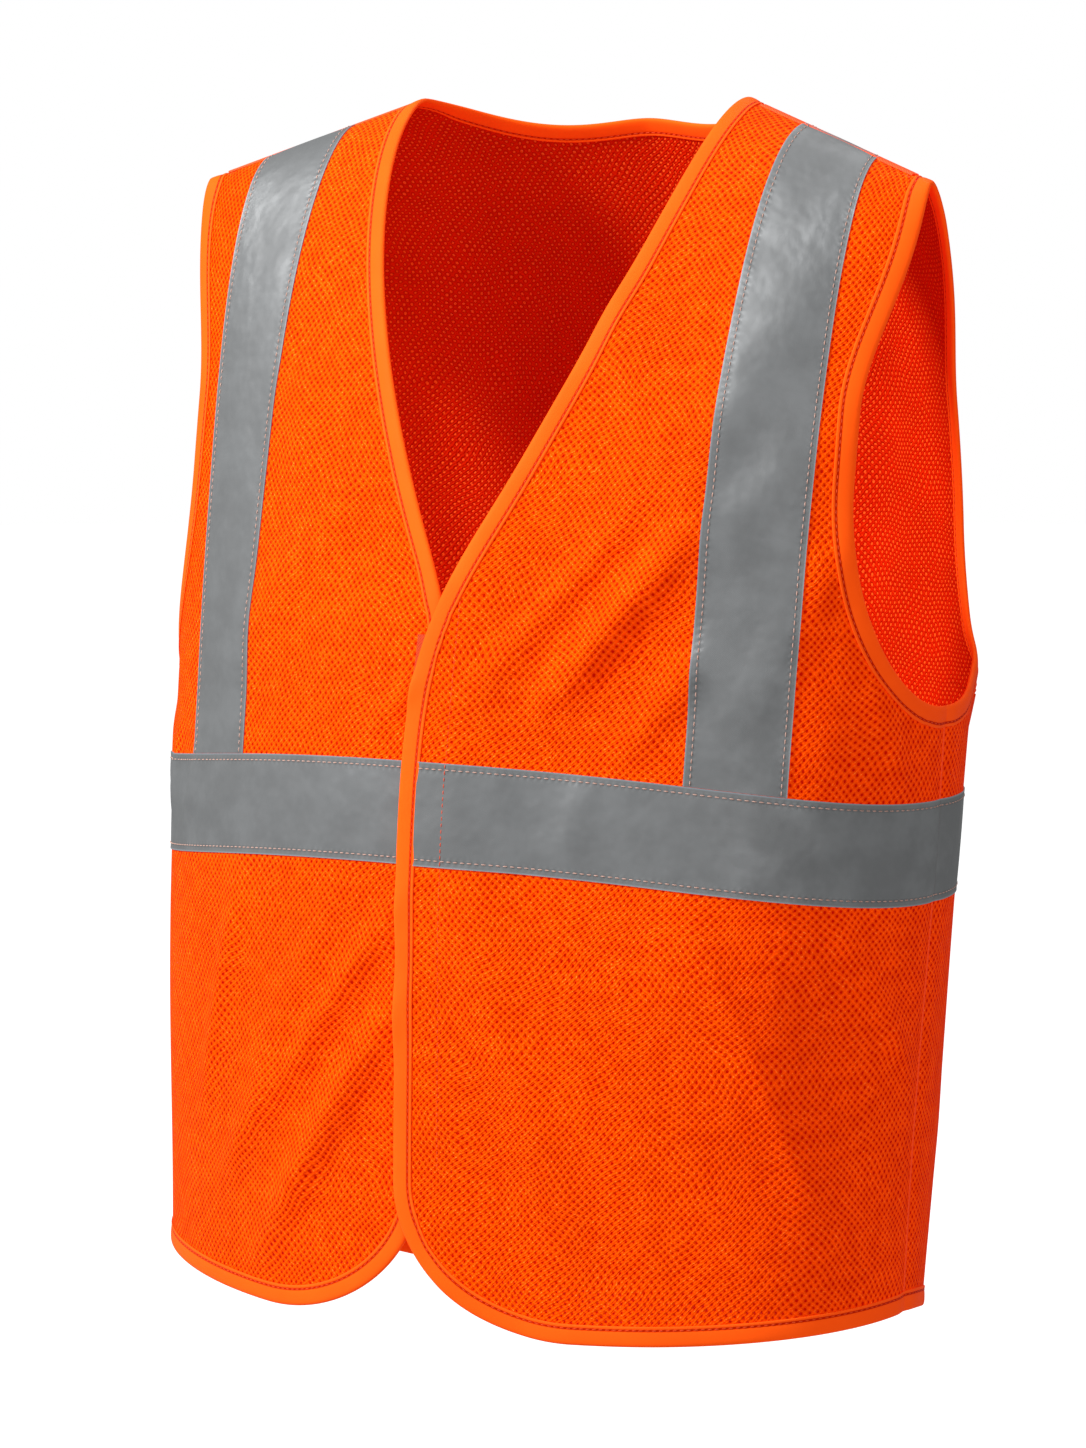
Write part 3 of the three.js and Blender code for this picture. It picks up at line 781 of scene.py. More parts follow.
class Wiring:
    """Adds nodes to one tree and joins them."""

    def __init__(self, tree: bpy.types.NodeTree) -> None:
        """Keeps the tree."""
        self.tree = tree

    def feed(self, socket: bpy.types.NodeSocket, value: Value) -> None:
        """Joins a socket to another, or gives it a value."""
        if isinstance(value, bpy.types.NodeSocket):
            self.tree.links.new(value, socket)
        else:
            socket.default_value = value

    def add(self, kind: str, inputs: dict[str | int, Value] | None = None,
            **settings: Value) -> bpy.types.Node:
        """Adds a node.

        Args:
            kind: The node's type.
            inputs: What its sockets take, by name or number.
            settings: The node's own settings.

        Returns:
            The node.
        """
        node = self.tree.nodes.new(kind)
        for key, value in settings.items():
            setattr(node, key, value)
        for key, value in (inputs or {}).items():
            self.feed(node.inputs[key], value)
        return node

    def math(self, operation: str, *values: Value) -> bpy.types.NodeSocket:
        """Adds a sum of one to three values."""
        return self.add("ShaderNodeMath", dict(enumerate(values)), operation=operation).outputs[0]

    def vector(self, operation: str, inputs: dict[str | int, Value]) -> bpy.types.NodeSocket:
        """Adds a sum of vectors or colours."""
        return self.add("ShaderNodeVectorMath", inputs, operation=operation).outputs[0]

    def span(self, value: Value, low: Value, high: Value, first: Value = 0.0,
             last: Value = 1.0) -> bpy.types.NodeSocket:
        """Adds a smooth step from one value to another."""
        inputs = {0: value, 1: low, 2: high, 3: first, 4: last}
        return self.add("ShaderNodeMapRange", inputs, interpolation_type="SMOOTHSTEP").outputs[0]

    def blend(self, share: Value, first: Value, second: Value) -> bpy.types.NodeSocket:
        """Adds a mix of two colours."""
        return self.add("ShaderNodeMix", {0: share, 6: first, 7: second}, data_type="RGBA").outputs[2]

    def noise(self, vector: Value, scale: float, detail: float = 2.0,
              roughness: float = 0.5) -> bpy.types.NodeSocket:
        """Adds a cloud pattern."""
        inputs = {"Vector": vector, "Scale": scale, "Detail": detail, "Roughness": roughness}
        return self.add("ShaderNodeTexNoise", inputs).outputs[0]

    def cloth_place(self) -> bpy.types.NodeSocket:
        """Adds the place on the cloth, in millimetres."""
        return self.add("ShaderNodeUVMap", uv_map=UV_NAME).outputs[0]

    def group(self, name: str, inputs: dict[str, Value]) -> bpy.types.Node:
        """Adds a shared group of nodes."""
        node = self.add("ShaderNodeGroup")
        node.node_tree = bpy.data.node_groups[name]
        for key, value in inputs.items():
            self.feed(node.inputs[key], value)
        return node


def start_group(name: str, inputs: dict[str, str], outputs: dict[str, str]) -> tuple[Wiring, Value, Value]:
    """Starts a shared node group.

    Args:
        name: The group's name.
        inputs: Kinds of its inputs by name.
        outputs: Kinds of its outputs by name.

    Returns:
        The group's wiring, its input sockets and its output sockets.
    """
    tree = bpy.data.node_groups.new(name, "ShaderNodeTree")
    for label, kind in inputs.items():
        tree.interface.new_socket(name=label, in_out="INPUT", socket_type=kind)
    for label, kind in outputs.items():
        tree.interface.new_socket(name=label, in_out="OUTPUT", socket_type=kind)
    wires = Wiring(tree)
    return wires, wires.add("NodeGroupInput").outputs, wires.add("NodeGroupOutput").inputs


FLOAT, VECTOR, COLOUR = "NodeSocketFloat", "NodeSocketVector", "NodeSocketColor"


def build_knit_group() -> None:
    """Builds the group of staggered holes of the knitted mesh."""
    wires, given, out = start_group(
        "knit_holes",
        {"Place": VECTOR, "Pitch": FLOAT, "Row": FLOAT, "Hole": FLOAT, "Softness": FLOAT},
        {"Solid": FLOAT, "Rim": FLOAT})
    parts = wires.add("ShaderNodeSeparateXYZ", {0: given["Place"]}).outputs
    across = wires.math("DIVIDE", parts[0], given["Pitch"])
    along = wires.math("DIVIDE", parts[1], given["Row"])
    squares = []
    for shift in (0.0, 0.5):
        near = []
        for share, size in ((across, given["Pitch"]), (along, given["Row"])):
            cell = wires.math("FRACT", wires.math("ADD", share, shift))
            near.append(wires.math("MULTIPLY", wires.math("SUBTRACT", cell, 0.5), size))
        tall = wires.math("MULTIPLY", near[1], 0.86)
        wide = wires.math("MULTIPLY", near[0], near[0])
        squares.append(wires.math("ADD", wide, wires.math("MULTIPLY", tall, tall)))
    distance = wires.math("SQRT", wires.math("MINIMUM", *squares))
    low = wires.math("SUBTRACT", given["Hole"], given["Softness"])
    high = wires.math("ADD", given["Hole"], given["Softness"])
    wires.feed(out["Solid"], wires.span(distance, low, high))
    wires.feed(out["Rim"], wires.span(distance, given["Hole"], wires.math("MULTIPLY", given["Hole"], 2.6)))


def build_yarn_group() -> None:
    """Builds the group of slanting filaments and uneven tone that every woven or knitted piece has."""
    wires, given, out = start_group(
        "yarn_grain",
        {"Place": VECTOR, "Spacing": FLOAT, "Lean": FLOAT, "Unevenness": FLOAT},
        {"Strand": FLOAT, "Fleck": FLOAT, "Drift": FLOAT})
    parts = wires.add("ShaderNodeSeparateXYZ", {0: given["Place"]}).outputs
    wander = wires.math("MULTIPLY", wires.math("SUBTRACT", wires.noise(given["Place"], 0.22, 3.0), 0.5),
                        given["Unevenness"])
    leaning = wires.math("ADD", wires.math("MULTIPLY", parts[0], given["Lean"]), parts[1])
    turns = wires.math("DIVIDE", wires.math("ADD", leaning, wander), given["Spacing"])
    wave = wires.math("SINE", wires.math("MULTIPLY", turns, 2 * HALF_TURN))
    wires.feed(out["Strand"], wires.span(wave, -0.7, 0.9))
    wires.feed(out["Fleck"], wires.span(wires.noise(given["Place"], 1.1, 2.0, 0.6), 0.52, 0.72))
    wires.feed(out["Drift"], wires.noise(given["Place"], 0.018, 3.0, 0.55))


def start_material(name: str) -> tuple[bpy.types.Material, Wiring, bpy.types.Node, bpy.types.NodeSocket]:
    """Starts a material whose pattern follows the cloth.

    Args:
        name: The material's name.

    Returns:
        The material, its wiring, its shader and the place on the cloth.
    """
    material = bpy.data.materials.new(name)
    material.use_nodes = True
    wires = Wiring(material.node_tree)
    return material, wires, material.node_tree.nodes["Principled BSDF"], wires.cloth_place()


@dataclass(frozen=True)
class MeshFinish:
    """Knitted polyester mesh: rows of small holes between slanting filaments, with painted shade and light at
    the holes and painted glints.
    """

    name: str
    # The hole colour is painted shade of the inside seen through the holes on the outside, and painted light
    # let through them on the inside.
    dot: Colour
    shade: Colour
    body: Colour
    # The brightest colour is that of painted glints of light on the filaments.
    bright: Colour
    glow: Colour
    glow_strength: float
    cover: float
    roughness: float = 0.7
    pitch: float = 4.0
    row: float = 4.5
    hole: float = 0.62
    softness: float = 0.2
    yarn_spacing: float = 1.6
    yarn_lean: float = 0.72

    def material(self) -> bpy.types.Material:
        """Makes the material.

        Returns:
            The material.
        """
        material, wires, shader, place = start_material(self.name)
        slow = wires.add("ShaderNodeTexNoise", {"Vector": place, "Scale": 0.03, "Detail": 1.0}).outputs[1]
        quick = wires.add("ShaderNodeTexNoise", {"Vector": place, "Scale": 0.35, "Detail": 1.0}).outputs[1]
        sway = place
        for cloud, reach in ((slow, 9.0), (quick, 0.55)):
            centred = wires.vector("SUBTRACT", {0: cloud, 1: (0.5, 0.5, 0.5)})
            sway = wires.vector("ADD", {0: sway, 1: wires.vector("SCALE", {0: centred, "Scale": reach})})
        size = wires.span(wires.noise(place, 0.12, 2.0), 0.25, 0.75, self.hole * 0.8, self.hole * 1.2)
        knit = wires.group("knit_holes", {
            "Place": sway, "Pitch": self.pitch, "Row": self.row, "Hole": size,
            "Softness": self.softness}).outputs
        yarn, crossing = (
            wires.group("yarn_grain", {
                "Place": sway, "Spacing": self.yarn_spacing, "Lean": lean, "Unevenness": 1.7}).outputs
            for lean in (self.yarn_lean, -self.yarn_lean))
        zone = wires.span(wires.noise(place, 0.016, 2.0), 0.4, 0.6, 0.15, 0.85)
        change = wires.math("SUBTRACT", crossing["Strand"], yarn["Strand"])
        strand = wires.math("MULTIPLY_ADD", change, zone, yarn["Strand"])
        colour = wires.blend(wires.math("MULTIPLY_ADD", strand, 0.75, 0.25), self.shade, self.body)
        # Painted highlights: glints on the filaments, away from the holes, lighten the colour towards the
        # brightest colour and lower the roughness.
        painted_glint = wires.math("MULTIPLY", wires.math("MULTIPLY", yarn["Fleck"], strand), knit["Rim"])
        colour = wires.blend(wires.math("MULTIPLY", painted_glint, 0.8), colour, self.bright)
        # Painted shade: the holes and a wide rim round each hole take the hole colour and the shade colour.
        colour = wires.blend(knit["Rim"], wires.blend(knit["Solid"], self.dot, self.shade), colour)
        tone = wires.span(yarn["Drift"], 0.35, 0.65, 0.93, 1.05)
        colour = wires.vector("SCALE", {0: colour, "Scale": tone})
        wires.feed(shader.inputs["Base Color"], colour)
        rims = wires.math("MULTIPLY", knit["Rim"], 0.8)
        height = wires.math("ADD", rims, wires.math("MULTIPLY", strand, 0.5))
        bump = wires.add("ShaderNodeBump", {"Height": height, "Strength": 0.9, "Distance": 0.0006})
        wires.feed(shader.inputs["Normal"], bump.outputs[0])
        gloss = wires.span(painted_glint, 0.0, 1.0, self.roughness, self.roughness - 0.2)
        wires.feed(shader.inputs["Roughness"], gloss)
        wires.feed(shader.inputs["Alpha"], wires.span(knit["Solid"], 0.0, 0.6, self.cover, 1.0))
        shader.inputs["Specular IOR Level"].default_value = 0.08
        shader.inputs["Specular Tint"].default_value = (1.0, 0.3, 0.03, 1.0)
        # The glow dims towards the holes: painted shade in the glow as well.
        shaded_glow = (0.6 * self.glow[0], 0.0, 0.0, 1.0)
        wires.feed(shader.inputs["Emission Color"], wires.blend(knit["Rim"], shaded_glow, self.glow))
        shader.inputs["Emission Strength"].default_value = self.glow_strength
        return material


@dataclass(frozen=True)
class TapeFinish:
    """Silver reflective tape with a pebbled face, dull cut edges, a pressed line at its stitches darkened
    with painted shade, and a painted glow.
    """

    name: str
    body: Colour
    pale: Colour
    edge: Colour
    width: float
    roughness: float = 0.5
    metallic: float = 0.2
    # Painted light: the share of its own colour that the tape glows with, evenly, whatever the lamps do.
    return_glow: float = 0.38
    stitch_pitch: float = 3.6

    def material(self) -> bpy.types.Material:
        """Makes the material.

        Returns:
            The material.
        """
        material, wires, shader, place = start_material(self.name)
        parts = wires.add("ShaderNodeSeparateXYZ", {0: place}).outputs
        to_edge = wires.math("MINIMUM", parts[1], wires.math("SUBTRACT", self.width, parts[1]))
        yarn = wires.group("yarn_grain", {
            "Place": place, "Spacing": 0.8, "Lean": 0.9, "Unevenness": 2.4}).outputs
        cloud = wires.noise(place, 0.035, 3.0, 0.6)
        colour = wires.blend(wires.span(cloud, 0.38, 0.68), self.body, self.pale)
        colour = wires.blend(wires.math("MULTIPLY", yarn["Fleck"], 0.18), colour, self.pale)
        at_edge = wires.span(to_edge, 0.25, 1.0, 1.0, 0.0)
        colour = wires.blend(wires.math("MULTIPLY", at_edge, 0.75), colour, self.edge)
        pressed = wires.math("ABSOLUTE", wires.math("SUBTRACT", to_edge, 3.2))
        groove = wires.span(pressed, 0.3, 1.3, 1.0, 0.0)
        # Painted shade: the colour is darkened along the pressed line of each row of stitches.
        groove_shade = wires.span(groove, 0.0, 1.0, 1.0, 0.84)
        colour = wires.vector("SCALE", {0: colour, "Scale": groove_shade})
        wires.feed(shader.inputs["Base Color"], colour)
        gloss = wires.span(cloud, 0.3, 0.7, self.roughness + 0.06, self.roughness - 0.08)
        wires.feed(shader.inputs["Roughness"], gloss)
        pebble = wires.noise(place, 1.6, 2.0, 0.6)
        strands = wires.math("MULTIPLY", yarn["Strand"], 0.2)
        height = wires.math("ADD", wires.math("MULTIPLY", pebble, 0.5), strands)
        pucker = wires.math("SINE", wires.math("MULTIPLY", parts[0], 2 * HALF_TURN / self.stitch_pitch))
        near = wires.span(pressed, 0.0, 2.6, 1.0, 0.0)
        height = wires.math("ADD", height, wires.math("MULTIPLY", pucker, near))
        ripple = wires.math("MULTIPLY", wires.noise(place, 0.055, 2.0, 0.45), 13.0)
        height = wires.math("ADD", height, ripple)
        bump = wires.add("ShaderNodeBump", {"Height": height, "Strength": 0.5, "Distance": 0.00022})
        wires.feed(shader.inputs["Normal"], bump.outputs[0])
        shader.inputs["Metallic"].default_value = self.metallic
        # Painted light: the tape glows with its own colour.
        wires.feed(shader.inputs["Emission Color"], colour)
        shader.inputs["Emission Strength"].default_value = self.return_glow
        return material


@dataclass(frozen=True)
class BindingFinish:
    """Plain woven binding tape, with a pressed line at its stitches; painted shade darkens that line and its
    inner edges.
    """

    name: str
    body: Colour
    shade: Colour
    glow: Colour
    glow_strength: float
    stitch_lines: tuple[float, ...]
    girth: float
    # crease: the colour of painted shade in the stitch grooves and of the contact shadow along both inner
    # edges.
    crease: Colour = (0.5, 0.012, 0.0, 1)
    stitch_pitch: float = 3.4
    roughness: float = 0.55

    def material(self) -> bpy.types.Material:
        """Makes the material.

        Returns:
            The material.
        """
        material, wires, shader, place = start_material(self.name)
        parts = wires.add("ShaderNodeSeparateXYZ", {0: place}).outputs
        yarn = wires.group("yarn_grain", {
            "Place": place, "Spacing": 0.7, "Lean": 1.4, "Unevenness": 1.2}).outputs
        # Painted shade: the groove mask darkens the two stitch lines and, as a contact shadow, both inner
        # edges where the binding meets the mesh.
        groove = 0.0
        for line in self.stitch_lines:
            off = wires.math("ABSOLUTE", wires.math("SUBTRACT", parts[1], line))
            groove = wires.math("MAXIMUM", groove, wires.span(off, 0.3, 0.95, 1.0, 0.0))
        for edge in (0.0, self.girth):
            off = wires.math("ABSOLUTE", wires.math("SUBTRACT", parts[1], edge))
            groove = wires.math("MAXIMUM", groove, wires.span(off, 0.1, 0.6, 1.0, 0.0))
        colour = wires.blend(wires.math("MULTIPLY", yarn["Strand"], 0.15), self.body, self.shade)
        colour = wires.blend(groove, colour, self.crease)
        drift = wires.span(yarn["Drift"], 0.35, 0.65, 0.95, 1.05)
        colour = wires.vector("SCALE", {0: colour, "Scale": drift})
        wires.feed(shader.inputs["Base Color"], colour)
        gloss = wires.span(yarn["Fleck"], 0.0, 1.0, self.roughness, self.roughness - 0.1)
        wires.feed(shader.inputs["Roughness"], gloss)
        pucker = wires.math("SINE", wires.math("MULTIPLY", parts[0], 2 * HALF_TURN / self.stitch_pitch))
        height = wires.math("ADD", wires.math("MULTIPLY", yarn["Strand"], 0.25),
                            wires.math("MULTIPLY", wires.math("MULTIPLY", pucker, groove), 0.8))
        bump = wires.add("ShaderNodeBump", {"Height": height, "Strength": 0.5, "Distance": 0.00025})
        wires.feed(shader.inputs["Normal"], bump.outputs[0])
        shader.inputs["Specular IOR Level"].default_value = 0.12
        shader.inputs["Specular Tint"].default_value = (1.0, 0.4, 0.08, 1.0)
        # The glow dims in the grooves and at the inner edges: painted shade in the glow as well.
        shaded_glow = (0.4 * self.glow[0], 0.0, 0.0, 1.0)
        wires.feed(shader.inputs["Emission Color"], wires.blend(groove, self.glow, shaded_glow))
        shader.inputs["Emission Strength"].default_value = self.glow_strength
        return material


@dataclass(frozen=True)
class ThreadFinish:
    """Sewing thread or the pile of a closing strip."""

    name: str
    body: Colour
    shade: Colour
    glow_strength: float = 0.0
    roughness: float = 0.6
    spacing: float = 0.6

    def material(self) -> bpy.types.Material:
        """Makes the material.

        Returns:
            The material.
        """
        material, wires, shader, place = start_material(self.name)
        yarn = wires.group("yarn_grain", {
            "Place": place, "Spacing": self.spacing, "Lean": 0.6, "Unevenness": 1.0}).outputs
        wires.feed(shader.inputs["Base Color"], wires.blend(yarn["Strand"], self.shade, self.body))
        gloss = wires.span(yarn["Fleck"], 0.0, 1.0, self.roughness, self.roughness - 0.15)
        wires.feed(shader.inputs["Roughness"], gloss)
        height = wires.math("ADD", yarn["Strand"], yarn["Fleck"])
        bump = wires.add("ShaderNodeBump", {"Height": height, "Strength": 0.4, "Distance": 0.0002})
        wires.feed(shader.inputs["Normal"], bump.outputs[0])
        shader.inputs["Emission Color"].default_value = (1.0, 0.02, 0.0, 1.0)
        shader.inputs["Emission Strength"].default_value = self.glow_strength
        return material


class Finishes:
    """Every material of the vest, made once."""

    def __init__(self, cut: Cut, binding_lines: tuple[float, float, float]) -> None:
        """Builds the shared groups and the materials.

        Args:
            cut: The pattern's sizes.
            binding_lines: Places round the binding's cross-section of its two rows of stitches and
                of the inside's inner edge.
        """
        build_knit_group()
        build_yarn_group()
        glow = (1.0, 0.006, 0.0, 1.0)
        # The outside's dark hole colour is painted shade of the inside seen through the holes.
        self.mesh_outside = MeshFinish(
            "orange_mesh_outside", dot=(0.42, 0.006, 0.0, 1), shade=(0.86, 0.068, 0.0, 1),
            body=(0.96, 0.13, 0.0, 1), bright=(1.0, 0.4, 0.045, 1), glow=glow, glow_strength=0.42,
            cover=0.94).material()
        # Painted shade: the inside is a darker, shaded copy of the outside mesh, with its holes painted
        # lighter as light let through them.
        self.mesh_inside = MeshFinish(
            "orange_mesh_inside", dot=(0.9, 0.11, 0.012, 1), shade=(0.36, 0.006, 0.0, 1),
            body=(0.48, 0.010, 0.0, 1), bright=(0.65, 0.05, 0.004, 1), glow=glow,
            glow_strength=0.28, cover=0.95, roughness=0.8).material()
        self.tape = TapeFinish(
            "silver_tape", body=(0.118, 0.122, 0.124, 1), pale=(0.145, 0.150, 0.153, 1),
            edge=(0.20, 0.235, 0.26, 1), width=cut.tape_width).material()
        self.binding = BindingFinish(
            "orange_binding", body=(0.95, 0.135, 0.008, 1), shade=(0.78, 0.045, 0.0, 1), glow=glow,
            glow_strength=0.32, stitch_lines=binding_lines[:2], girth=binding_lines[2]).material()
        self.thread = ThreadFinish(
            "orange_thread", body=(1.0, 0.14, 0.01, 1), shade=(0.85, 0.05, 0.0, 1),
            glow_strength=0.12).material()
        self.tape_thread = ThreadFinish(
            "faded_thread", body=(0.80, 0.55, 0.46, 1), shade=(0.50, 0.28, 0.22, 1),
            glow_strength=0.02).material()
        self.loop = ThreadFinish(
            "loop_pile", body=(0.85, 0.075, 0.004, 1), shade=(0.4, 0.02, 0.0, 1), roughness=0.9,
            spacing=1.1).material()
        self.hook = ThreadFinish(
            "hook_base", body=(0.8, 0.1, 0.01, 1), shade=(0.6, 0.05, 0.004, 1), roughness=0.5,
            spacing=1.6).material()
        self.overlock = ThreadFinish(
            "overlock_thread", body=(0.95, 0.11, 0.004, 1), shade=(0.75, 0.05, 0.0, 1), roughness=0.75,
            glow_strength=0.36, spacing=1.2).material()


# ---- The vest's sub-assemblies.


@dataclass
class Vest:
    """What every sub-assembly works with."""

    cut: Cut
    cloth: Cloth
    outline: Outline
    finishes: Finishes | None = None
    orange: dict[str, Stitches] = field(default_factory=dict)

    def stitches(self, group: str) -> Stitches:
        """The stitches that go with one front or with the body."""
        return self.orange.setdefault(group, Stitches())

    def bend(self, piece: bpy.types.Object, side: Side) -> None:
        """Bakes the placement of a front's piece into its points.

        Args:
            piece: The finished piece.
            side: The front that it belongs to; not used.
        """
        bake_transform(piece)


@dataclass
class MeshPanels:
    """The three panels of knitted mesh."""

    vest: Vest
    spacing: float = 2.8
    back_spacing: float = 3.1
    crowding: float = 1.25              # draws the columns closer together near the opening

    def front(self, side: Side) -> bpy.types.Object:
        """Builds one front, from its opening edge to the side seam and the shoulder.

        Args:
            side: Which front.

        Returns:
            The piece.
        """
        cloth, outline, cut = self.vest.cloth, self.vest.outline, self.vest.cut
        levels = cloth.rows(0.7, 0.0, cut.neck_level, self.spacing)
        underarm = int(np.argmin(np.abs(levels - cut.underarm_level)))
        levels[underarm] = cut.underarm_level
        extra = cut.underarm_level + np.array([0.3, 1.0])
        levels = np.unique(np.concatenate([levels, extra]))
        start = cloth.across(cloth.angle_at(outline.neck_edge_x(levels, side), levels))
        end = cloth.across(outline.side_edge(levels, False))
        share = np.linspace(0, 1, 109)
        share = mix(share ** self.crowding, share, share)
        angle = cloth.angle_of(mix(start[:, None], end[:, None], share[None, :]))
        level = outline.from_hem(levels[:, None] + 0 * angle, angle, side)
        if side is Side.RIGHT:
            angle, level = -angle[:, ::-1], level[:, ::-1]
        return self.sheet(f"mesh_{side.word}_front", angle, level, side)

    def back(self) -> bpy.types.Object:
        """Builds the back panel.

        Returns:
            The piece.
        """
        cloth, outline, cut = self.vest.cloth, self.vest.outline, self.vest.cut
        levels = cloth.rows(2.3, 0.0, cut.neck_level, self.back_spacing)
        levels[int(np.argmin(np.abs(levels - cut.underarm_level)))] = cut.underarm_level
        start = cloth.across(outline.side_edge(levels, True))
        ring = 2 * float(cloth.across(np.array(HALF_TURN)))
        share = np.linspace(0, 1, 189)
        across = mix(start[:, None], ring - start[:, None], share[None, :])
        half = ring / 2
        angle = np.where(across > half, 2 * HALF_TURN - cloth.angle_of(ring - across), cloth.angle_of(across))
        level = outline.back_level(levels[:, None] + 0 * angle, angle)
        return self.sheet("mesh_back", angle, level, None)

    def sheet(self, name: str, angle: Array, level: Array, side: Side | None) -> bpy.types.Object:
        """Makes a panel of a grid of places on the cloth."""
        cloth, half = self.vest.cloth, self.vest.cut.mesh_thickness / 2
        wrapped = np.mod(angle + HALF_TURN, 2 * HALF_TURN) - HALF_TURN
        outer = cloth.place(wrapped, level, half, side)
        inner = cloth.place(wrapped, level, -half, side)
        past_middle = 2 * cloth.across(np.array(HALF_TURN)) - cloth.across(2 * HALF_TURN - angle)
        across = np.where(angle > HALF_TURN, past_middle, cloth.across(angle))
        uv = np.stack([across + 1000, cloth.up(wrapped, level)], -1)
        finishes = self.vest.finishes
        piece = slab(name, outer, inner, uv, [finishes.mesh_outside, finishes.mesh_inside])
        flat = cloth.bare(wrapped, level) / 1000
        return piece

    def build(self) -> list[bpy.types.Object]:
        """Builds and dresses the three panels."""
        pieces = []
        for side in Side:
            piece = self.front(side)
            self.vest.bend(piece, side)
            word = side.word
            pieces.append(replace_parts(piece, f"{word}_front_side_panel", f"{word}_front_opening_panel"))
        back = self.back()
        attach(back, "vest_body")
        pieces.append(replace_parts(back, "back_panel"))
        return pieces


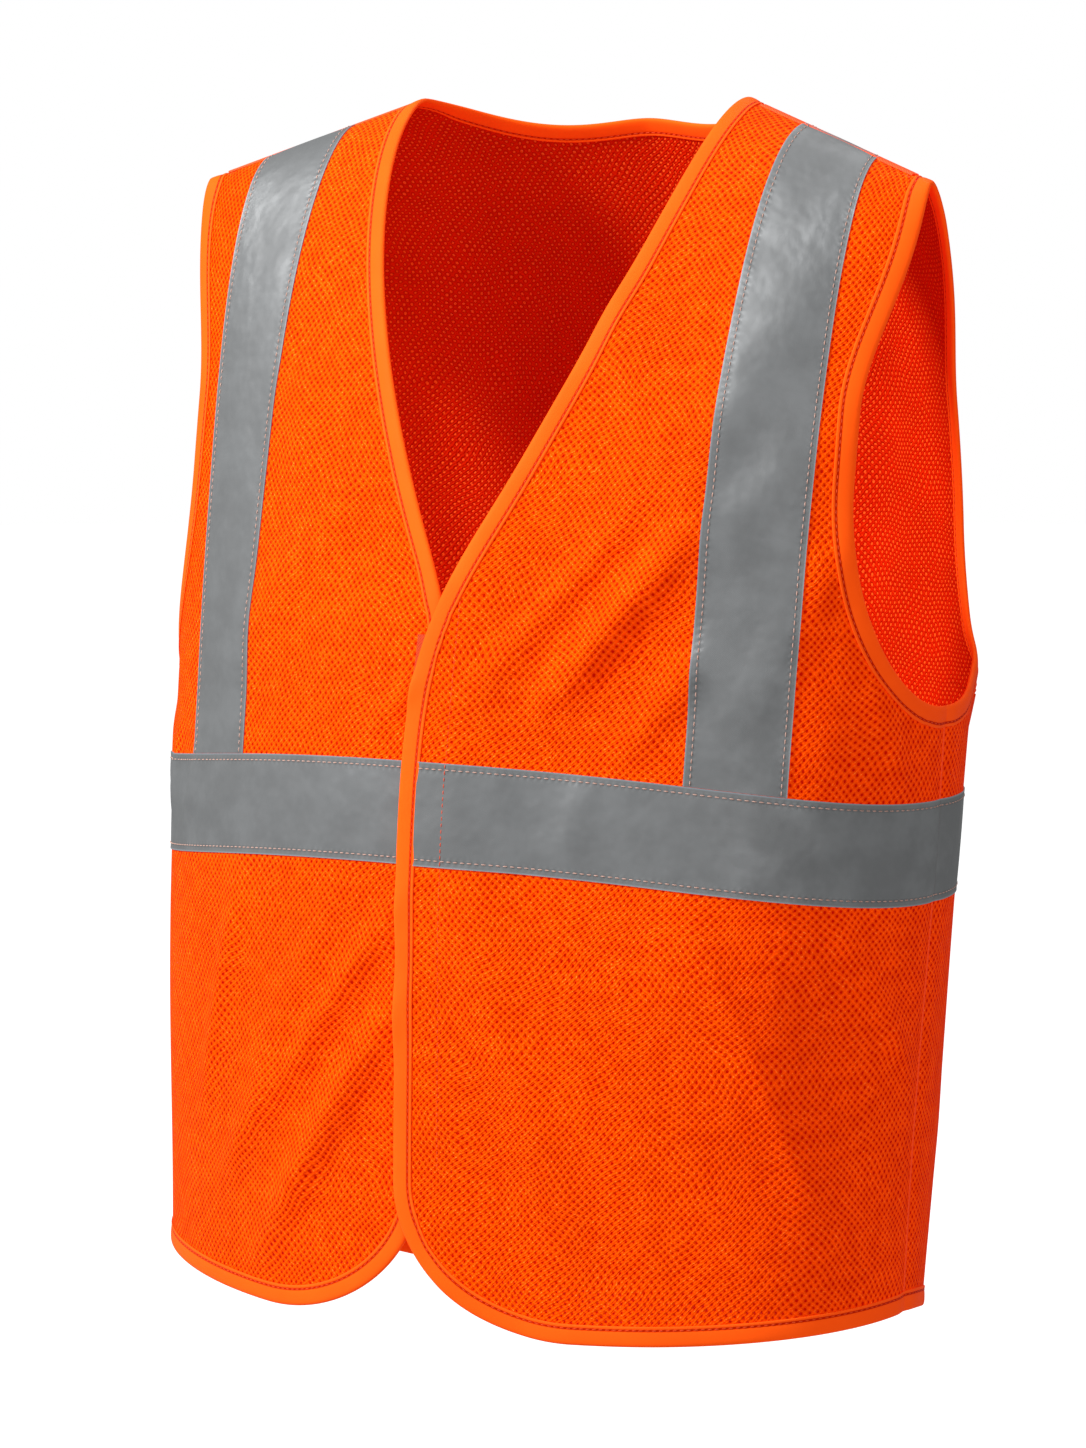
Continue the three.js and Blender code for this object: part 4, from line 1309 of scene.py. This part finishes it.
@dataclass
class Tapes:
    """Reflective tapes round the waist and over the shoulders, with their rows of stitches."""

    vest: Vest
    inner: float = 0.5
    crown: float = 0.25
    spacing: float = 2.8
    stitch_inset: float = 3.2
    pitch: float = 3.6
    stitch: float = 2.7
    thread: float = 0.33

    def strip(self, name: str, angle: Array, level: Array, side: Side | None) -> bpy.types.Object:
        """Makes a tape of a grid of places, with its width along the second axis.

        Args:
            name: Name of the piece.
            angle: Angles, places along the tape by places across it.
            level: Levels.
            side: The front that it belongs to, or None.

        Returns:
            The piece.
        """
        cut, cloth = self.vest.cut, self.vest.cloth
        share = np.linspace(0, 1, angle.shape[1])
        inset = self.stitch_inset / cut.tape_width
        to_edge = np.minimum(share, 1 - share)
        crown = self.crown * np.sin(HALF_TURN * np.clip((to_edge - inset) / (0.5 - inset), 0, 1) / 2) ** 0.7
        flange = 0.16 * smooth(inset - to_edge, 0, inset)
        height = (crown + flange)[None, :] + 0 * angle
        outer = cloth.place(angle, level, self.inner + cut.tape_thickness + height, side)
        inner = cloth.place(angle, level, self.inner + height * 0.7, side)
        run = np.linalg.norm(np.diff(outer[:, angle.shape[1] // 2], axis=0), axis=1)
        along = np.concatenate([[0], np.cumsum(run)]) * 1000
        start = 40 * len(name)
        uv = np.stack(np.broadcast_arrays(along[:, None] + start, share[None, :] * cut.tape_width), -1)
        cross = np.cross(outer[0, 1] - outer[0, 0], outer[1, 0] - outer[0, 0])
        facing = float(np.dot(cross, cloth.normal(angle[0, 0], level[0, 0])))
        if facing < 0:
            outer, inner, uv = outer[:, ::-1], inner[:, ::-1], uv[:, ::-1]
        piece = slab(name, outer, inner, uv, [self.vest.finishes.tape])
        return piece

    def stitch_rows(self, angle: Array, level: Array, side: Side | None, group: str) -> None:
        """Sews both edges of a tape."""
        cloth, stitches = self.vest.cloth, self.vest.stitches(group)
        share = np.linspace(0, 1, angle.shape[1])
        inset = self.stitch_inset / self.vest.cut.tape_width
        for where in (inset, 1 - inset):
            row_angle = np.array([np.interp(where, share, row) for row in angle])
            row_level = np.array([np.interp(where, share, row) for row in level])
            trail = Trail(cloth, row_angle, row_level, 1, side)
            stitches.row(trail, self.inner + self.vest.cut.tape_thickness + 0.1, self.pitch, self.stitch,
                         self.thread, 1)

    def waist_front(self, side: Side) -> bpy.types.Object:
        """Builds the waist tape of one front.

        Args:
            side: Which front.

        Returns:
            The piece.
        """
        cut, cloth, outline = self.vest.cut, self.vest.cloth, self.vest.outline
        start = cloth.across(cloth.angle_at(-cut.lap + cut.binding_width - 0.6, 240.0))
        end = cloth.seam_arc - 0.15
        along = np.linspace(start, end, round((end - start) / self.spacing))
        share = np.linspace(0, 1, 21)
        angle = cloth.angle_of(along)[:, None] + 0 * share[None, :]
        level = outline.tape_low(angle) + cut.tape_width * share[None, :]
        if side is Side.RIGHT:
            angle = -angle
        piece = self.strip(f"tape_{side.word}_waist", angle, level, side)
        self.stitch_rows(angle, level, side, side.word)
        return piece

    def waist_back(self) -> bpy.types.Object:
        """Builds the waist tape of the back.

        Returns:
            The piece.
        """
        cut, cloth = self.vest.cut, self.vest.cloth
        half = float(cloth.across(np.array(HALF_TURN)))
        start = cloth.seam_arc + 0.15
        along = np.linspace(start, 2 * half - start, round(2 * (half - start) / self.spacing))
        back = cloth.angle_of(np.minimum(along, 2 * half - along))
        angle = np.where(along > half, -back, back)
        share = np.linspace(0, 1, 21)
        grid = angle[:, None] + 0 * share[None, :]
        level = cut.tape_level + cut.tape_width * share[None, :] + 0 * grid
        piece = self.strip("tape_back_waist", grid, level, None)
        turned = np.where(grid < 0, grid + 2 * HALF_TURN, grid)
        self.stitch_rows(turned, level, None, "body")
        return piece

    def shoulder(self, side: Side, is_back: bool) -> bpy.types.Object:
        """Builds the tape from the waist tape up to the shoulder line.

        Args:
            side: Which side.
            is_back: Whether it is the back's.

        Returns:
            The piece.
        """
        cut, cloth, outline = self.vest.cut, self.vest.cloth, self.vest.outline
        low_x = cut.left_tape_x if side is Side.LEFT else cut.right_tape_x
        middle = float(outline.tape_middle(np.array(260.0), low_x, is_back))
        low = float(outline.tape_low(np.array(middle))) + cut.tape_width
        levels = cloth.rows(middle, low, cut.neck_level, self.spacing)
        centre = outline.tape_middle(levels, low_x, is_back)
        share = np.linspace(0, 1, 21)
        reach = cut.tape_width * (share[None, :] - 0.5)
        angle = centre[:, None] + cloth.arc_angle(reach, centre[:, None], levels[:, None])
        foot = outline.tape_low(angle) + cut.tape_width + 0.15
        fade = np.clip(1 - (levels[:, None] - low) / 60, 0, 1)
        level = levels[:, None] + (foot - low) * fade
        angle = angle * side.value
        word = "back" if is_back else "front"
        piece = self.strip(f"tape_{side.word}_{word}_shoulder", angle, level, None)
        self.stitch_rows(angle, level, None, "body")
        return piece

    def build(self) -> list[bpy.types.Object]:
        """Builds and dresses the tapes."""
        pieces = []
        for side in Side:
            word = side.word
            waist = self.waist_front(side)
            self.vest.bend(waist, side)
            pieces.append(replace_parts(waist, f"{word}_side_waist_tape", f"{word}_opening_waist_tape"))
            for is_back in (False, True):
                face = "back" if is_back else "front"
                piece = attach(self.shoulder(side, is_back), "vest_body")
                pieces.append(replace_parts(piece, f"{word}_{face}_shoulder_tape"))
        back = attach(self.waist_back(), "vest_body")
        pieces.append(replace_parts(back, "back_waist_tape"))
        return pieces


@dataclass
class Bindings:
    """Folded binding tape round every edge, sewn through near its inner edges."""

    vest: Vest
    spacing: float = 2.2
    stitch_inset: float = 7.4
    pitch: float = 3.4
    stitch: float = 2.5
    thread: float = 0.2
    outside: tuple[tuple[float, float], ...] = (
        (9.35, 0.42), (9.5, 0.62), (9.35, 0.92), (8.8, 1.05), (8.2, 0.98), (7.4, 0.82), (6.7, 0.98),
        (5.6, 1.16), (4.0, 1.3), (2.4, 1.38), (1.0, 1.36), (0.1, 1.2), (-0.5, 0.9), (-0.85, 0.48))

    def profile(self) -> tuple[Array, Array]:
        """Cross-section of the folded tape, round from the outside's inner edge to the inside's."""
        front = list(self.outside)
        back = [(into, -out) for into, out in reversed(front)]
        around = front + [(-1.0, 0.0)] + back + [(0.4, -0.42), (0.4, 0.42)]
        into, out = np.array(around).T
        return into, out

    def widths(self) -> Array:
        """Millimetres round the cross-section of each of its points."""
        into, out = self.profile()
        closed_into, closed_out = np.append(into, into[0]), np.append(out, out[0])
        return np.concatenate([[0], np.cumsum(np.hypot(np.diff(closed_into), np.diff(closed_out)))])

    def stitch_lines(self) -> tuple[float, float, float]:
        """Places round the cross-section of the two rows of stitches and of the inside's inner edge."""
        widths, (into, _) = self.widths(), self.profile()
        rows = [i for i, value in enumerate(into) if abs(value - self.stitch_inset) < 0.01]
        return float(widths[rows[0]]), float(widths[rows[-1]]), float(widths[-4])

    def band(self, name: str, trail: Trail, group: str) -> bpy.types.Object:
        """Binds one edge.

        Args:
            name: Name of the piece.
            trail: The edge.
            group: Which stitches its rows belong to.

        Returns:
            The piece.
        """
        line = trail.spaced(self.spacing)
        into, out = self.profile()
        points = line.band(into, out)
        piece = sweep(name, points, line.lengths(), self.widths(), [self.vest.finishes.binding])
        row = line.inset(self.stitch_inset)
        for face in (1, -1):
            self.vest.stitches(group).row(row, face * 0.86, self.pitch, self.stitch, self.thread, 0)
        return piece

    def front(self, side: Side) -> bpy.types.Object:
        """Binds a front from the side seam to the neck point."""
        angle, level = self.vest.outline.front_path(side)
        trail = Trail(self.vest.cloth, angle * side.value, level, -side.value, side)
        return self.band(f"binding_{side.word}_front", trail, side.word)

    def neck(self) -> bpy.types.Object:
        """Binds the back of the neck."""
        cut, cloth, outline = self.vest.cut, self.vest.cloth, self.vest.outline
        x = cut.neck_half_width * np.cos(np.linspace(0, HALF_TURN, 161))
        front = cloth.angle_at(x, np.full(161, cut.neck_level))
        angle = np.sign(front) * (HALF_TURN - np.abs(front))
        angle = np.where(angle <= 0, angle + 2 * HALF_TURN, angle)
        level = cut.neck_level - outline.back_neck_drop(x)
        return self.band("binding_back_neck", Trail(cloth, angle, level, -1, None), "body")

    def hem(self) -> bpy.types.Object:
        """Binds the hem of the back."""
        angle = np.linspace(SEAM_ANGLE, 3 * SEAM_ANGLE, 161)
        level = self.vest.outline.from_hem(np.zeros(161), angle)
        return self.band("binding_back_hem", Trail(self.vest.cloth, angle, level, 1, None), "body")

    def armhole(self, side: Side) -> bpy.types.Object:
        """Binds an armhole, from the side seam up the front, over the shoulder and down the back."""
        cut, cloth, outline = self.vest.cut, self.vest.cloth, self.vest.outline
        height = cut.neck_level - cut.underarm_level
        bottom = cut.underarm_level + height * np.linspace(0, 0.3, 60) ** 2 / 0.3
        rest = cloth.rows(1.2, float(bottom[-1]), cut.neck_level, 3.0)[1:]
        levels = np.concatenate([bottom, rest])
        angle = np.concatenate([outline.armhole(levels, False), outline.armhole(levels, True)[::-1]])
        level = np.concatenate([levels, levels[::-1]])
        trail = Trail(cloth, angle * side.value, level, side.value, None)
        return self.band(f"binding_{side.word}_armhole", trail, "body")

    def build(self) -> list[bpy.types.Object]:
        """Builds and dresses the bindings."""
        pieces = []
        for side in Side:
            word = side.word
            front = self.front(side)
            self.vest.bend(front, side)
            pieces.append(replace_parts(front, f"{word}_front_edge_binding", f"{word}_side_hem_binding"))
            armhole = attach(self.armhole(side), "vest_body")
            pieces.append(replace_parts(armhole, f"{word}_armhole_binding"))
        pieces.append(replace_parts(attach(self.neck(), "vest_body"), "neck_binding"))
        pieces.append(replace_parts(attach(self.hem(), "vest_body"), "back_hem_binding"))
        return pieces


@dataclass
class Closure:
    """Hook strip under the left front and loop strip on the right front."""

    vest: Vest
    loop_heights: tuple[float, float] = (0.45, 1.4)
    hook_heights: tuple[float, float] = (-1.5, -0.45)
    spacing: float = 4.0

    def strip(self, name: str, side: Side, inner: float, outer: float,
              material: bpy.types.Material) -> bpy.types.Object:
        """Makes one strip.

        Args:
            name: Name of the piece.
            side: The front that it is sewn to.
            inner: Height of its inner face over the middle of that front's mesh.
            outer: Height of its outer face.
            material: What it is made of.

        Returns:
            The piece.
        """
        cut, cloth = self.vest.cut, self.vest.cloth
        levels = cloth.rows(0.0, cut.strip_low, cut.strip_high, self.spacing)
        share = np.linspace(0, 1, 10)
        reach = cut.strip_width - cut.binding_width - 1
        x = (-cut.lap + cut.binding_width + 0.7 + reach * share) * side.value
        x = x if side is Side.LEFT else x[::-1]
        angle = cloth.angle_at(x[None, :], levels[:, None])
        level = levels[:, None] + 0 * angle
        points = [cloth.place(angle, level, height, side) for height in (outer, inner)]
        uv = np.stack(np.broadcast_arrays(share[None, :] * cut.strip_width, levels[:, None]), -1)
        piece = slab(name, points[0], points[1], uv, [material])
        return piece

    def build(self) -> list[bpy.types.Object]:
        """Builds and dresses both strips."""
        finishes = self.vest.finishes
        loop = self.strip("closure_loop", Side.RIGHT, *self.loop_heights, finishes.loop)
        hook = self.strip("closure_hook", Side.LEFT, *self.hook_heights, finishes.hook)
        self.vest.bend(loop, Side.RIGHT)
        self.vest.bend(hook, Side.LEFT)
        return [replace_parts(loop, "loop_strip"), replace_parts(hook, "hook_strip")]


@dataclass
class Seams:
    """Side and shoulder seams: a raised line outside and an overlocked allowance inside."""

    vest: Vest

    def side_seam(self, side: Side) -> bpy.types.Object:
        """Builds a side seam's overlocked allowance and the ridge outside it.

        Args:
            side: Which side.

        Returns:
            The piece.
        """
        cut, cloth = self.vest.cut, self.vest.cloth
        level = np.linspace(9.5, cut.underarm_level - 9.5, 120)
        angle = np.full(120, SEAM_ANGLE * side.value)
        trail = Trail(cloth, angle, level, 1, None)
        inside = np.array([(-4.0, -0.5), (-3.9, -1.1), (-2.0, -1.35), (0.0, -1.4), (2.0, -1.35), (3.9, -1.1),
                           (4.0, -0.5), (0.0, -0.45)])
        outside = np.array([(-0.9, 0.25), (-0.55, 0.62), (0.0, 0.5), (0.55, 0.62), (0.9, 0.25), (0.0, 0.15)])
        parts = []
        for number, shape in enumerate((inside, outside)):
            points = trail.band(shape[:, 0], shape[:, 1])
            closed = np.vstack([shape, shape[:1]])
            widths = np.concatenate([[0], np.cumsum(np.hypot(*np.diff(closed, axis=0).T))])
            finish = [self.vest.finishes.overlock]
            parts.append(sweep(f"part_{number}", points, trail.lengths(), widths, finish))
        piece = joined(parts, f"seam_{side.word}_side")
        return piece

    def shoulder_seam(self, side: Side) -> bpy.types.Object:
        """Builds a shoulder seam, a raised double line over an overlocked allowance.

        Args:
            side: Which side.

        Returns:
            The piece.
        """
        cut, cloth = self.vest.cut, self.vest.cloth
        x = np.linspace(cut.neck_half_width + 9.8, cut.shoulder_tip_x - 9.8, 50)
        front = cloth.angle_at(x, np.full(50, cut.neck_level)) * side.value
        ridge = cloth.place(front, np.full(50, cut.neck_level), np.zeros(50), None)
        along = unit(np.gradient(ridge, axis=0))
        out = unit(np.array([cut.shoulder_slope * side.value, 0, 1]))
        over = unit(np.cross(out[None, :], along)) * side.value
        drop = 0.035
        shapes = (
            [(-4.0, -0.55), (-4.0, -1.2), (0.0, -1.3), (4.0, -1.2), (4.0, -0.55), (0.0, -0.45)],
            [(-2.9, 0.1), (-2.7, 0.75), (-1.7, 1.1), (-0.8, 0.8), (0.0, 0.55), (0.8, 0.8), (1.7, 1.1),
             (2.7, 0.75), (2.9, 0.1), (0.0, 0.1)])
        parts = []
        for number, shape in enumerate(shapes):
            flat = np.array(shape)
            sag = drop * flat[:, 0] ** 2
            points = (ridge[:, None] + over[:, None] * flat[None, :, :1] / 1000
                      + out * ((flat[:, 1] - sag)[None, :, None]) / 1000)
            closed = np.vstack([flat, flat[:1]])
            widths = np.concatenate([[0], np.cumsum(np.hypot(*np.diff(closed, axis=0).T))])
            finish = [self.vest.finishes.overlock]
            parts.append(sweep(f"part_{number}", points, (x - x[0]) * 1.1, widths, finish))
        piece = joined(parts, f"seam_{side.word}_shoulder")
        return piece

    def closure_line(self) -> None:
        """Sews the line that holds the hook strip."""
        cut, cloth = self.vest.cut, self.vest.cloth
        level = np.linspace(cut.strip_low - 16, cut.strip_high + 26, 100)
        angle = cloth.angle_at(np.full(100, cut.lap), level)
        trail = Trail(cloth, angle, level, 1, Side.LEFT)
        waist = (level > 222) & (level < 272.6)
        self.vest.stitches("left").row(trail, 0.42, 3.2, 2.4, 0.2, 0)
        over = Trail(cloth, angle[waist], level[waist], 1, Side.LEFT)
        self.vest.stitches("left").row(over, 1.15, 3.2, 2.4, 0.24, 0)

    def build(self) -> list[bpy.types.Object]:
        """Builds and dresses the seams."""
        self.closure_line()
        pieces = []
        for side in Side:
            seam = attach(self.side_seam(side), "vest_body")
            pieces.append(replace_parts(seam, f"{side.word}_side_seam_overlock"))
            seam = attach(self.shoulder_seam(side), "vest_body")
            pieces.append(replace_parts(seam, f"{side.word}_shoulder_seam_overlock"))
        return pieces


@dataclass
class Sewing:
    """All the visible stitches, one piece for each front and one for the rest."""

    vest: Vest

    def build(self) -> list[bpy.types.Object]:
        """Makes the pieces of the stitches gathered so far."""
        finishes = self.vest.finishes
        pieces = []
        for group, stitches in self.vest.orange.items():
            piece = stitches.piece(f"stitches_{group}", [finishes.thread, finishes.tape_thread])
            if group == "body":
                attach(piece, "vest_body")
            else:
                self.vest.bend(piece, Side[group.upper()])
            pieces.append(piece)
        return pieces


@dataclass
class Studio:
    """Camera, floor and soft lights."""

    target: Vector = Vector((0.0, -0.024, -0.3214))
    azimuth: float = 29.87
    distance: float = 2.5
    eye_level: float = -0.0218
    lens: float = 120.97
    shift: float = -0.0123
    floor_level: float = -0.92

    def camera(self) -> None:
        """Sets the camera."""
        data = bpy.data.cameras.new("camera")
        data.lens = self.lens
        data.sensor_width = 36.0
        data.shift_x = self.shift
        camera = bpy.data.objects.new("camera", data)
        turn = math.radians(self.azimuth)
        back = self.target.y - self.distance * math.cos(turn)
        camera.location = (self.distance * math.sin(turn), back, self.eye_level)
        camera.rotation_euler = (self.target - camera.location).to_track_quat("-Z", "Y").to_euler()
        bpy.context.scene.collection.objects.link(camera)
        bpy.context.scene.camera = camera

    def light(self, name: str, place: tuple[float, float, float], size: float, power: float,
              colour: tuple[float, float, float] = (1.0, 1.0, 1.0)) -> None:
        """Adds a soft light that faces the vest.

        Args:
            name: Name of the light.
            place: Where it is, in metres.
            size: Width of the light.
            power: Its power in watts.
            colour: Its colour.
        """
        data = bpy.data.lights.new(name, "AREA")
        data.shape = "SQUARE"
        data.size = size
        data.energy = power
        data.color = colour
        light = bpy.data.objects.new(name, data)
        light.location = place
        light.rotation_euler = (self.target - light.location).to_track_quat("-Z", "Y").to_euler()
        bpy.context.scene.collection.objects.link(light)

    def world(self, strength: float) -> None:
        """Makes the surroundings white, and dimmer as a light than they look."""
        world = bpy.data.worlds.new("white_room")
        world.use_nodes = True
        bpy.context.scene.world = world
        wires = Wiring(world.node_tree)
        seen = wires.add("ShaderNodeLightPath").outputs["Is Camera Ray"]
        background = world.node_tree.nodes["Background"]
        background.inputs[0].default_value = (1.0, 1.0, 1.0, 1.0)
        wires.feed(background.inputs[1], wires.span(seen, 0.0, 1.0, strength, 1.0))

    def floor(self) -> None:
        """Lays the floor."""
        bpy.ops.object.select_all(action="DESELECT")
        bpy.ops.mesh.primitive_circle_add(
            vertices=64, radius=9.0, fill_type="NGON", location=(0, 0, self.floor_level))
        floor = bpy.context.active_object
        floor.name = "floor"
        material = bpy.data.materials.new("pale_floor")
        material.use_nodes = True
        shader = material.node_tree.nodes["Principled BSDF"]
        shader.inputs["Base Color"].default_value = (0.3, 0.3, 0.3, 1.0)
        shader.inputs["Roughness"].default_value = 0.9
        shader.inputs["Emission Color"].default_value = (1.0, 1.0, 1.0, 1.0)
        wires = Wiring(material.node_tree)
        seen = wires.add("ShaderNodeLightPath").outputs["Is Camera Ray"]
        wires.feed(shader.inputs["Emission Strength"], wires.span(seen, 0.0, 1.0, 0.05, 1.0))
        floor.data.materials.append(material)

    def build(self) -> None:
        """Sets up everything round the vest."""
        self.camera()
        self.floor()
        self.world(0.2)
        self.light("key", (-1.5, -1.75, 1.5), 0.6, 118.0)
        self.light("fill", (1.9, -2.1, 0.3), 1.6, 20.0)
        self.light("top", (0.2, 0.6, 1.6), 1.2, 12.0)
        bpy.context.scene.view_settings.view_transform = "Standard"


CHEST_FOLDS = (
    Fold(across=(98, 20), up=(402, 303), width=9, height=2.2),
    Fold(across=(134, 52), up=(402, 290), width=10, height=3.6),
    Fold(across=(146, 98), up=(342, 276), width=9, height=2.2),
    Fold(across=(150, 108), up=(470, 380), width=13, height=1.8),
    Fold(across=(60, 112), up=(520, 430), width=16, height=1.4),
    Fold(across=(212, 30), up=(452, 296), width=17, height=1.5),
    Fold(across=(176, 60), up=(520, 366), width=19, height=1.3),
    Fold(across=(206, 150), up=(392, 286), width=13, height=1.5),
    Fold(across=(-60, -150), up=(420, 300), width=17, height=1.2),
    Fold(across=(222, 246), up=(316, 262), width=8, height=1.6),
    Fold(across=(-8, -38), up=(316, 282), width=7, height=1.6),
    Fold(across=(-16, -62), up=(352, 392), width=16, height=-1.6),
    Fold(across=(-118, -92), up=(470, 396), width=14, height=1.6),
)
SKIRT_FOLDS = (
    Fold(across=(-12, -103), up=(206, 84), width=8, height=2.6),
    Fold(across=(-12, -108), up=(156, 10), width=10, height=3.8),
    Fold(across=(-126, -161), up=(206, 72), width=8, height=1.8),
    Fold(across=(-92, -140), up=(112, 44), width=9, height=1.6),
    Fold(across=(24, 88), up=(208, 34), width=18, height=3.6),
    Fold(across=(122, 190), up=(212, 92), width=22, height=3.0),
    Fold(across=(60, 130), up=(196, 6), width=15, height=1.5),
    Fold(across=(168, 226), up=(190, 20), width=15, height=1.6),
    Fold(across=(-52, -132), up=(206, 60), width=12, height=1.5),
    Fold(across=(138, 208), up=(206, 56), width=7, height=1.3),
    Fold(across=(214, 270), up=(198, 112), width=7, height=1.6),
)
WAIST_FOLDS = (
    Fold(across=(-168, -188), up=(268, 220), width=6, height=1.1),
    Fold(across=(-204, -214), up=(276, 224), width=6, height=1.2),
    Fold(across=(-236, -240), up=(284, 228), width=7, height=1.2),
    Fold(across=(86, 74), up=(272, 222), width=9, height=0.8),
)
BACK_FOLDS = (
    Fold(across=(420, 452), up=(500, 300), width=20, height=3.0),
    Fold(across=(-418, -448), up=(490, 290), width=20, height=3.0),
    Fold(across=(330, 372), up=(330, 250), width=13, height=2.4),
    Fold(across=(-332, -378), up=(336, 252), width=13, height=2.2),
    Fold(across=(470, 448), up=(220, 20), width=22, height=3.4),
    Fold(across=(-476, -462), up=(214, 10), width=24, height=3.2),
    Fold(across=(560, 548), up=(210, 30), width=24, height=-2.8),
    Fold(across=(368, 352), up=(200, 20), width=18, height=2.4),
    Fold(across=(-372, -350), up=(206, 26), width=17, height=2.6),
)


def main() -> None:
    """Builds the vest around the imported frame, in the order it is sewn."""
    logging.basicConfig(level=logging.INFO, format="%(message)s")
    cut = Cut()
    cloth = Cloth(cut, Drape(folds=CHEST_FOLDS + SKIRT_FOLDS + WAIST_FOLDS + BACK_FOLDS))
    vest = Vest(cut, cloth, Outline(cloth))
    bindings = Bindings(vest)
    vest.finishes = Finishes(cut, bindings.stitch_lines())
    Studio().build()
    for assembly in (MeshPanels(vest), bindings, Tapes(vest), Closure(vest), Seams(vest), Sewing(vest)):
        for piece in assembly.build():
            LOG.info("%s: %s, %d faces", type(assembly).__name__, piece.name, len(piece.data.polygons))


if __name__ == "__main__":
    main()
